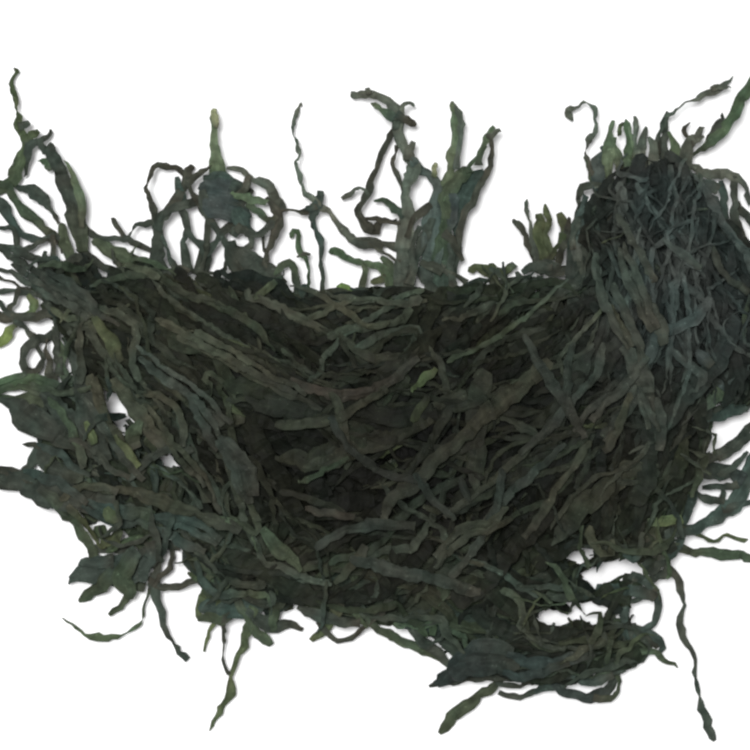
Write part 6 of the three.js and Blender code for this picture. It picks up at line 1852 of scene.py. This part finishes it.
@dataclass
class Wiring:
    """The nodes of one new material: adds them, sets their values and joins them up."""

    name: str
    material: bpy.types.Material = field(init=False)

    def __post_init__(self) -> None:
        """Makes the material with its one plain shader."""
        self.material = bpy.data.materials.new(self.name)
        self.material.use_nodes = True

    def feed(self, node: bpy.types.Node, inputs: Inputs) -> None:
        """Sets the inputs of a node to values, or joins other nodes' outputs to them.

        Args:
            node: The node.
            inputs: The value or the output for each input, by its name or its number.
        """
        for key, value in inputs.items():
            if isinstance(value, Socket):
                self.material.node_tree.links.new(value, node.inputs[key])
            else:
                node.inputs[key].default_value = value

    def node(self, kind: str, output: str, inputs: Inputs, **settings: str) -> Socket:
        """Adds a node.

        Args:
            kind: The node's type.
            output: The output that is wanted of it.
            inputs: The value or the output for each input, by its name or its number.
            **settings: What is set on the node itself.

        Returns:
            The output.
        """
        node = self.material.node_tree.nodes.new(kind)
        for name, value in settings.items():
            setattr(node, name, value)
        self.feed(node, inputs)
        return node.outputs[output]

    def noise(self, place: Socket, scale: float, detail: float) -> Socket:
        """Adds a cloudy pattern, which varies about 0.5."""
        return self.node(
            "ShaderNodeTexNoise", "Fac", {"Vector": place, "Scale": scale, "Detail": detail}
        )

    def spread(self, value: Socket, low: Pair, high: Pair) -> Socket:
        """Stretches a value so that the first pair of limits becomes the second."""
        limits = {"From Min": low[0], "From Max": low[1], "To Min": high[0], "To Max": high[1]}
        return self.node("ShaderNodeMapRange", "Result", {"Value": value, **limits})

    def scaled(self, colour: Socket, factor: Socket) -> Socket:
        """Makes a colour lighter or darker by a factor."""
        return self.node(
            "ShaderNodeVectorMath", "Vector", {0: colour, "Scale": factor}, operation="SCALE"
        )

    def bump(self, height: Socket, depth: float) -> Socket:
        """Roughens the surface by a pattern, to a depth in millimetres."""
        return self.node("ShaderNodeBump", "Normal", {"Height": height, "Distance": depth * MM})

    def finish(self, inputs: Inputs) -> bpy.types.Material:
        """Feeds the shader and hands over the material."""
        self.feed(self.material.node_tree.nodes["Principled BSDF"], inputs)
        return self.material


@dataclass(frozen=True)
class KelpFinish:
    """Dried kelp: matt, wrinkled lengthwise, mottled, and lighter on the wrinkles' crests, partly
    a faint grey bloom and partly painted sheen.
    """

    roughness: float = 0.62
    smoother: float = 0.12
    rougher: float = 0.16
    specular: float = 0.06
    wrinkle_scale: tuple[float, float, float] = (120.0, 900.0, 1000.0)
    wrinkle_detail: float = 4.0
    wrinkle_depth: float = 0.22
    mottle: float = 0.28
    mottle_limits: Pair = (0.35, 0.65)
    blotch_scale: float = 230.0
    blotch_detail: float = 6.0
    stain_scale: float = 60.0
    stain_limits: Pair = (0.4, 0.6)
    browner: Colour = (1.07, 0.99, 0.94)
    greener: Colour = (0.93, 1.03, 0.99)
    # partly grey bloom, partly painted sheen on the wrinkles' crests
    bloom_and_sheen: float = 0.55
    bloom_and_sheen_limits: Pair = (0.45, 0.75)
    speck: float = 0.9
    speck_scale: float = 900.0
    speck_detail: float = 2.0
    speck_limits: Pair = (0.66, 0.72)

    def material(self, name: str) -> bpy.types.Material:
        """Makes the material, which reads the strips' tint and strand attributes.

        Args:
            name: The material's name.

        Returns:
            The material.
        """
        wiring = Wiring(name)
        tint = wiring.node("ShaderNodeAttribute", "Color", {}, attribute_name="tint")
        strand = wiring.node("ShaderNodeAttribute", "Vector", {}, attribute_name="strand")
        place = wiring.node("ShaderNodeTexCoord", "Object", {})
        stretched = wiring.node(
            "ShaderNodeMapping", "Vector", {"Vector": strand, "Scale": self.wrinkle_scale}
        )
        wrinkles = wiring.noise(stretched, 1.0, self.wrinkle_detail)
        blotches = wiring.noise(place, self.blotch_scale, self.blotch_detail)
        grit = wiring.noise(place, self.speck_scale, self.speck_detail)
        mottle = wiring.spread(blotches, self.mottle_limits, (1 - self.mottle, 1 + self.mottle))
        # the crests of the wrinkles are made lighter: partly grey bloom, partly painted sheen
        dust_and_sheen = wiring.spread(wrinkles, self.bloom_and_sheen_limits, (1.0, 1 + self.bloom_and_sheen))
        specks = wiring.spread(grit, self.speck_limits, (1.0, 1 + self.speck))
        rough = wiring.spread(
            wrinkles, (0.0, 1.0), (self.roughness - self.smoother, self.roughness + self.rougher)
        )
        parts = {0: wiring.scaled(tint, mottle), 1: self.stains(wiring, place)}
        stained = wiring.node("ShaderNodeVectorMath", "Vector", parts, operation="MULTIPLY")
        return wiring.finish({
            "Base Color": wiring.scaled(wiring.scaled(stained, dust_and_sheen), specks),
            "Roughness": rough,
            "Specular IOR Level": self.specular,
            "Normal": wiring.bump(wrinkles, self.wrinkle_depth),
        })

    def stains(self, wiring: Wiring, place: Socket) -> Socket:
        """Adds wide stains, in which the kelp is browner or greener.

        Args:
            wiring: The material's nodes.
            place: The place on the heap.

        Returns:
            The stains' colour, by which the kelp's is multiplied.
        """
        clouds = wiring.noise(place, self.stain_scale, self.blotch_detail)
        stains = wiring.node("ShaderNodeValToRGB", "Color", {"Fac": clouds})
        colours = (self.browner, self.greener)
        for stop, position, colour in zip(stains.node.color_ramp.elements, self.stain_limits, colours):
            stop.position = position
            stop.color = (*colour, 1)
        return stains


@dataclass(frozen=True)
class CoreFinish:
    """The shaded inside of the heap, deep under the strips that show."""

    colour: Colour = linear(58, 60, 52)
    shades: Pair = (0.5, 1.5)
    roughness: float = 0.8
    specular: float = 0.2
    lump_scale: float = 190.0
    lump_detail: float = 4.0
    lump: float = 2.0

    def material(self) -> bpy.types.Material:
        """Makes the material, mottled and lumpy by its place in the heap.

        Returns:
            The material.
        """
        wiring = Wiring("shaded kelp")
        place = wiring.node("ShaderNodeTexCoord", "Object", {})
        lumps = wiring.noise(place, self.lump_scale, self.lump_detail)
        dark, light = ((*(shade * v for v in self.colour), 1) for shade in self.shades)
        colour = wiring.node(
            "ShaderNodeMix", "Result", {"Factor": lumps, "A": dark, "B": light}, data_type="RGBA"
        )
        return wiring.finish({
            "Base Color": colour,
            "Roughness": self.roughness,
            "Specular IOR Level": self.specular,
            "Normal": wiring.bump(lumps, self.lump),
        })


@dataclass
class HeapCore:
    """The dark lump of buried kelp inside the heap, under all the strips that show."""

    table: Table
    centre: Pair = (58.0, -36.0)
    spokes: int = 120
    rings: int = 22
    stride: float = 1.0
    inset: float = 7.0
    depth: float = 8.0
    thinnest: float = 1.0
    floor_gap: float = 1.6
    rim: float = 2.0
    lump: float = 1.2
    lump_lengths: tuple[float, float, float, float] = (4.1, 7.3, 3.7, 9.1)
    directions: int = 721

    def reach(self, angle: float) -> float:
        """How far the core reaches in one direction, before the heap gets low.

        Args:
            angle: The direction from its centre, in radians.

        Returns:
            The distance from its centre.
        """
        reach = 0.0
        while True:
            row, column = self.table.cells(
                self.centre[0] + reach * math.cos(angle), self.centre[1] + reach * math.sin(angle)
            )
            if self.table.mound_top[row, column] < self.depth - self.thinnest:
                return reach - self.inset
            reach += self.stride

    def top(self, x: float, y: float) -> float:
        """How high the core stands over a point.

        Args:
            x: The point's x.
            y: The point's y.

        Returns:
            The height.
        """
        row, column = self.table.cells(x, y)
        a, b, c, d = self.lump_lengths
        lumps = self.lump * math.sin(x / a + y / b) * math.cos(y / c - x / d)
        return max(self.rim, float(self.table.mound_top[row, column]) - self.depth + lumps)

    def build(self) -> bpy.types.Object:
        """Makes the core from a ring that is drawn in towards the middle, then set in place.

        Returns:
            The core's object.
        """
        mesh = bmesh.new()
        bmesh.ops.create_circle(mesh, segments=self.spokes, radius=1.0)
        edges = mesh.edges[:]
        bottom = bmesh.ops.extrude_edge_only(mesh, edges=edges)["geom"]
        for vert in (v for v in bottom if isinstance(v, bmesh.types.BMVert)):
            vert.co.z = -1.0
        bmesh.ops.contextual_create(mesh, geom=[e for e in bottom if isinstance(e, bmesh.types.BMEdge)])
        for ring in range(self.rings - 1, 0, -1):
            grown = bmesh.ops.extrude_edge_only(mesh, edges=edges)["geom"]
            edges = [e for e in grown if isinstance(e, bmesh.types.BMEdge)]
            verts = [v for v in grown if isinstance(v, bmesh.types.BMVert)]
            for vert in verts:
                vert.co.xy = vert.co.xy.normalized() * ring / self.rings
        bmesh.ops.contextual_create(mesh, geom=edges)
        self.place(mesh)
        bmesh.ops.recalc_face_normals(mesh, faces=mesh.faces)
        data = bpy.data.meshes.new("kelp_core")
        mesh.to_mesh(data)
        mesh.free()
        data.shade_smooth()
        return put("kelp_core", data)

    def place(self, mesh: bmesh.types.BMesh) -> None:
        """Draws the round blank out to the reach and the height of the heap.

        Args:
            mesh: The blank, of radius 1, whose underside is at -1.
        """
        for vert in mesh.verts:
            angle = math.atan2(vert.co.y, vert.co.x)
            reach = self.reach(angle) * vert.co.xy.length
            x = self.centre[0] + reach * math.cos(angle)
            y = self.centre[1] + reach * math.sin(angle)
            z = self.floor_gap if vert.co.z < -0.5 else self.top(x, y)
            vert.co = Vector((x, y, z)) * MM

    def fill_table(self) -> None:
        """Raises the heap's height to the core, so that strips laid later rest on it."""
        rows, columns = self.table.pile_top.shape
        angles = np.linspace(-math.pi, math.pi, self.directions)
        reaches = np.array([self.reach(angle) for angle in angles])
        x, y = np.meshgrid(
            self.table.west + self.table.cell * (np.arange(columns) + 0.5) - self.centre[0],
            self.table.south + self.table.cell * (np.arange(rows) + 0.5) - self.centre[1],
        )
        inside = np.hypot(x, y) < np.interp(np.arctan2(y, x), angles, reaches)
        pile, core = self.table.pile_top, np.maximum(self.rim, self.table.mound_top - self.depth)
        self.table.pile_top = np.where(inside, np.maximum(pile, core), pile)


@dataclass
class Studio:
    """The pale table top, the soft light and the camera."""

    sight: Sight = Sight()
    lens: float = 85.0
    film: float = 36.0
    softness: float = 2.4
    floor_half: float = 3.0
    floor_colour: Colour = linear(236, 236, 236)
    floor_roughness: float = 0.8
    floor_specular: float = 0.1
    room_light: float = 0.5
    lamp_place: tuple[float, float, float] = (-0.12, 0.0, 1.1)
    lamp_size: float = 0.3
    lamp_power: float = 14.0

    def floor(self) -> bpy.types.Object:
        """Makes the table top.

        Returns:
            The table top's object, marked as no part of the heap.
        """
        mesh = bmesh.new()
        bmesh.ops.create_grid(mesh, x_segments=2, y_segments=2, size=self.floor_half)
        data = bpy.data.meshes.new("table_top")
        mesh.to_mesh(data)
        mesh.free()
        floor = put("table_top", data)
        data.materials.append(Wiring("pale table").finish({
            "Base Color": (*self.floor_colour, 1),
            "Roughness": self.floor_roughness,
            "Specular IOR Level": self.floor_specular,
        }))
        return floor

    def light(self) -> None:
        """Hangs one wide soft light and lights the room evenly."""
        world = bpy.data.worlds.new("studio")
        world.use_nodes = True
        background = world.node_tree.nodes["Background"]
        background.inputs["Color"].default_value = (1, 1, 1, 1)
        background.inputs["Strength"].default_value = self.room_light
        bpy.context.scene.world = world
        lamp = bpy.data.lights.new("soft light", "AREA")
        lamp.shape = "DISK"
        lamp.size = self.lamp_size
        lamp.energy = self.lamp_power
        piece = put("soft light", lamp)
        piece.location = self.lamp_place
        to_middle = Vector((0, 0, 0)) - piece.location
        piece.rotation_euler = to_middle.to_track_quat("-Z", "Y").to_euler()

    def camera(self) -> None:
        """Sets the camera nearly overhead."""
        camera = bpy.data.cameras.new("camera")
        camera.lens = self.lens
        camera.sensor_width = self.film
        piece = put("camera", camera)
        piece.location = Vector(self.sight.eye) * MM
        piece.rotation_euler = (math.radians(90 - self.sight.elevation), 0, 0)
        bpy.context.scene.camera = piece
        bpy.context.scene.view_settings.view_transform = "Standard"
        bpy.context.scene.cycles.filter_width = self.softness


@dataclass
class KelpHeap:
    """The whole heap, laid from the table up."""

    random: np.random.Generator = field(default_factory=lambda: np.random.default_rng(11))
    table: Table = field(default_factory=lambda: Table(Mound(), Grain()))

    def underside(self) -> list[Strip]:
        """Throws the strips that are pressed flat under the heap.

        Returns:
            The strips.
        """
        layer = Layer(self.table, self.random, bridging=2, sink=0.1, clearance=0.02)
        return Bulk(layer, 170, 1.0, ((1.0, Kind.PRESSED),), edge=4.0, overhang=(0, 6)).throw()

    def fringe(self, layer: Layer) -> list[Strip]:
        """Throws the short strips round the rim, straight ones first and then hooped ones.

        Args:
            layer: The heap as it lies.

        Returns:
            The strips.
        """
        cuts = ((1.0, Kind.SPIKE),)
        straight = Bulk(layer, 80, 6.0, cuts, overhang=(3, 11), astray=3, furthest_in=5, shades=(0.9, 1.0))
        hooped = replace(straight, count=20, overhang=(5, 12), furthest_in=4, hoop=0.05)
        return straight.throw() + hooped.throw()

    def strips(self) -> dict[str, list[Strip]]:
        """Lays every layer over the core, each on what lies there already.

        Returns:
            The strips of each piece.
        """
        layer = Layer(self.table, self.random)
        # The buried and lower strips are darkened as painted shade in the hollows under the top strips,
        # most of all in the heap's middle.
        buried = Bulk(layer, 620, -2.5, ((1.0, Kind.BURIED),), darkest=0.7, shades=(0.7, 0.8)).throw()
        strays = StrayStrips(layer).lay(STRAYS)
        kinds = ((0.55, Kind.PLAIN), (0.3, Kind.WIDE), (0.15, Kind.CURLY))
        filling = Bulk(layer, 620, 0.0, kinds, darkest=0.11, shades=(0.29, 0.43)).throw()
        kinds = ((0.58, Kind.SLIM), (0.1, Kind.WIDE), (0.14, Kind.THIN), (0.18, Kind.CURLY))
        shown = Bulk(
            layer, 290, 2.5, kinds, darkest=0.29, forked=0.5, shades=(0.8, 1.08), shade=(0.47, 1.4)
        ).throw()
        ribbons = StrayStrips(layer, darkest=0.42, shade=(0.82, 1.06)).lay(RIBBONS, resting=True)
        half, third = len(filling) // 2, len(shown) // 3
        return {
            "kelp_buried_strips": buried,
            "kelp_stray_strips": strays,
            "kelp_top_ribbons": ribbons,
            "kelp_fringe_strips": self.fringe(layer),
            "kelp_lower_strips_first": filling[:half],
            "kelp_lower_strips_second": filling[half:],
            "kelp_strips_first": shown[:third],
            "kelp_strips_second": shown[third : 2 * third],
            "kelp_strips_third": shown[2 * third :],
        }

    def build(self) -> list[bpy.types.Object]:
        """Lays the whole heap and makes one object of each piece.

        Returns:
            The heap's objects, the core first.
        """
        pressed = self.underside()
        core = HeapCore(self.table)
        pieces = [core.build()]
        core.fill_table()
        pieces[0].data.materials.append(CoreFinish().material())
        finish = KelpFinish().material("dried kelp")
        for name, strips in {"kelp_pressed_strips": pressed, **self.strips()}.items():
            across = 3 if name in COARSE_PIECES else 5
            piece = Sheaf(name, strips, across).build()
            piece.data.materials.append(finish)
            pieces.append(piece)
            log.info("%s: %d strips", name, len(strips))
        log.info("heap top %.1f mm", self.table.pile_top.max())
        for piece in pieces:
            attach(piece, "root")
            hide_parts(HEAP_NODE)
            log.info("%s: %d faces", piece.name, len(piece.data.polygons))
        return pieces


def main() -> None:
    """Loads the frame, lays the heap and lights it."""
    logging.basicConfig(level=logging.INFO, format="%(name)s: %(message)s")
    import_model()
    studio = Studio()
    studio.floor()
    studio.light()
    studio.camera()
    KelpHeap().build()
    bpy.context.view_layer.update()


if __name__ == "__main__":
    main()
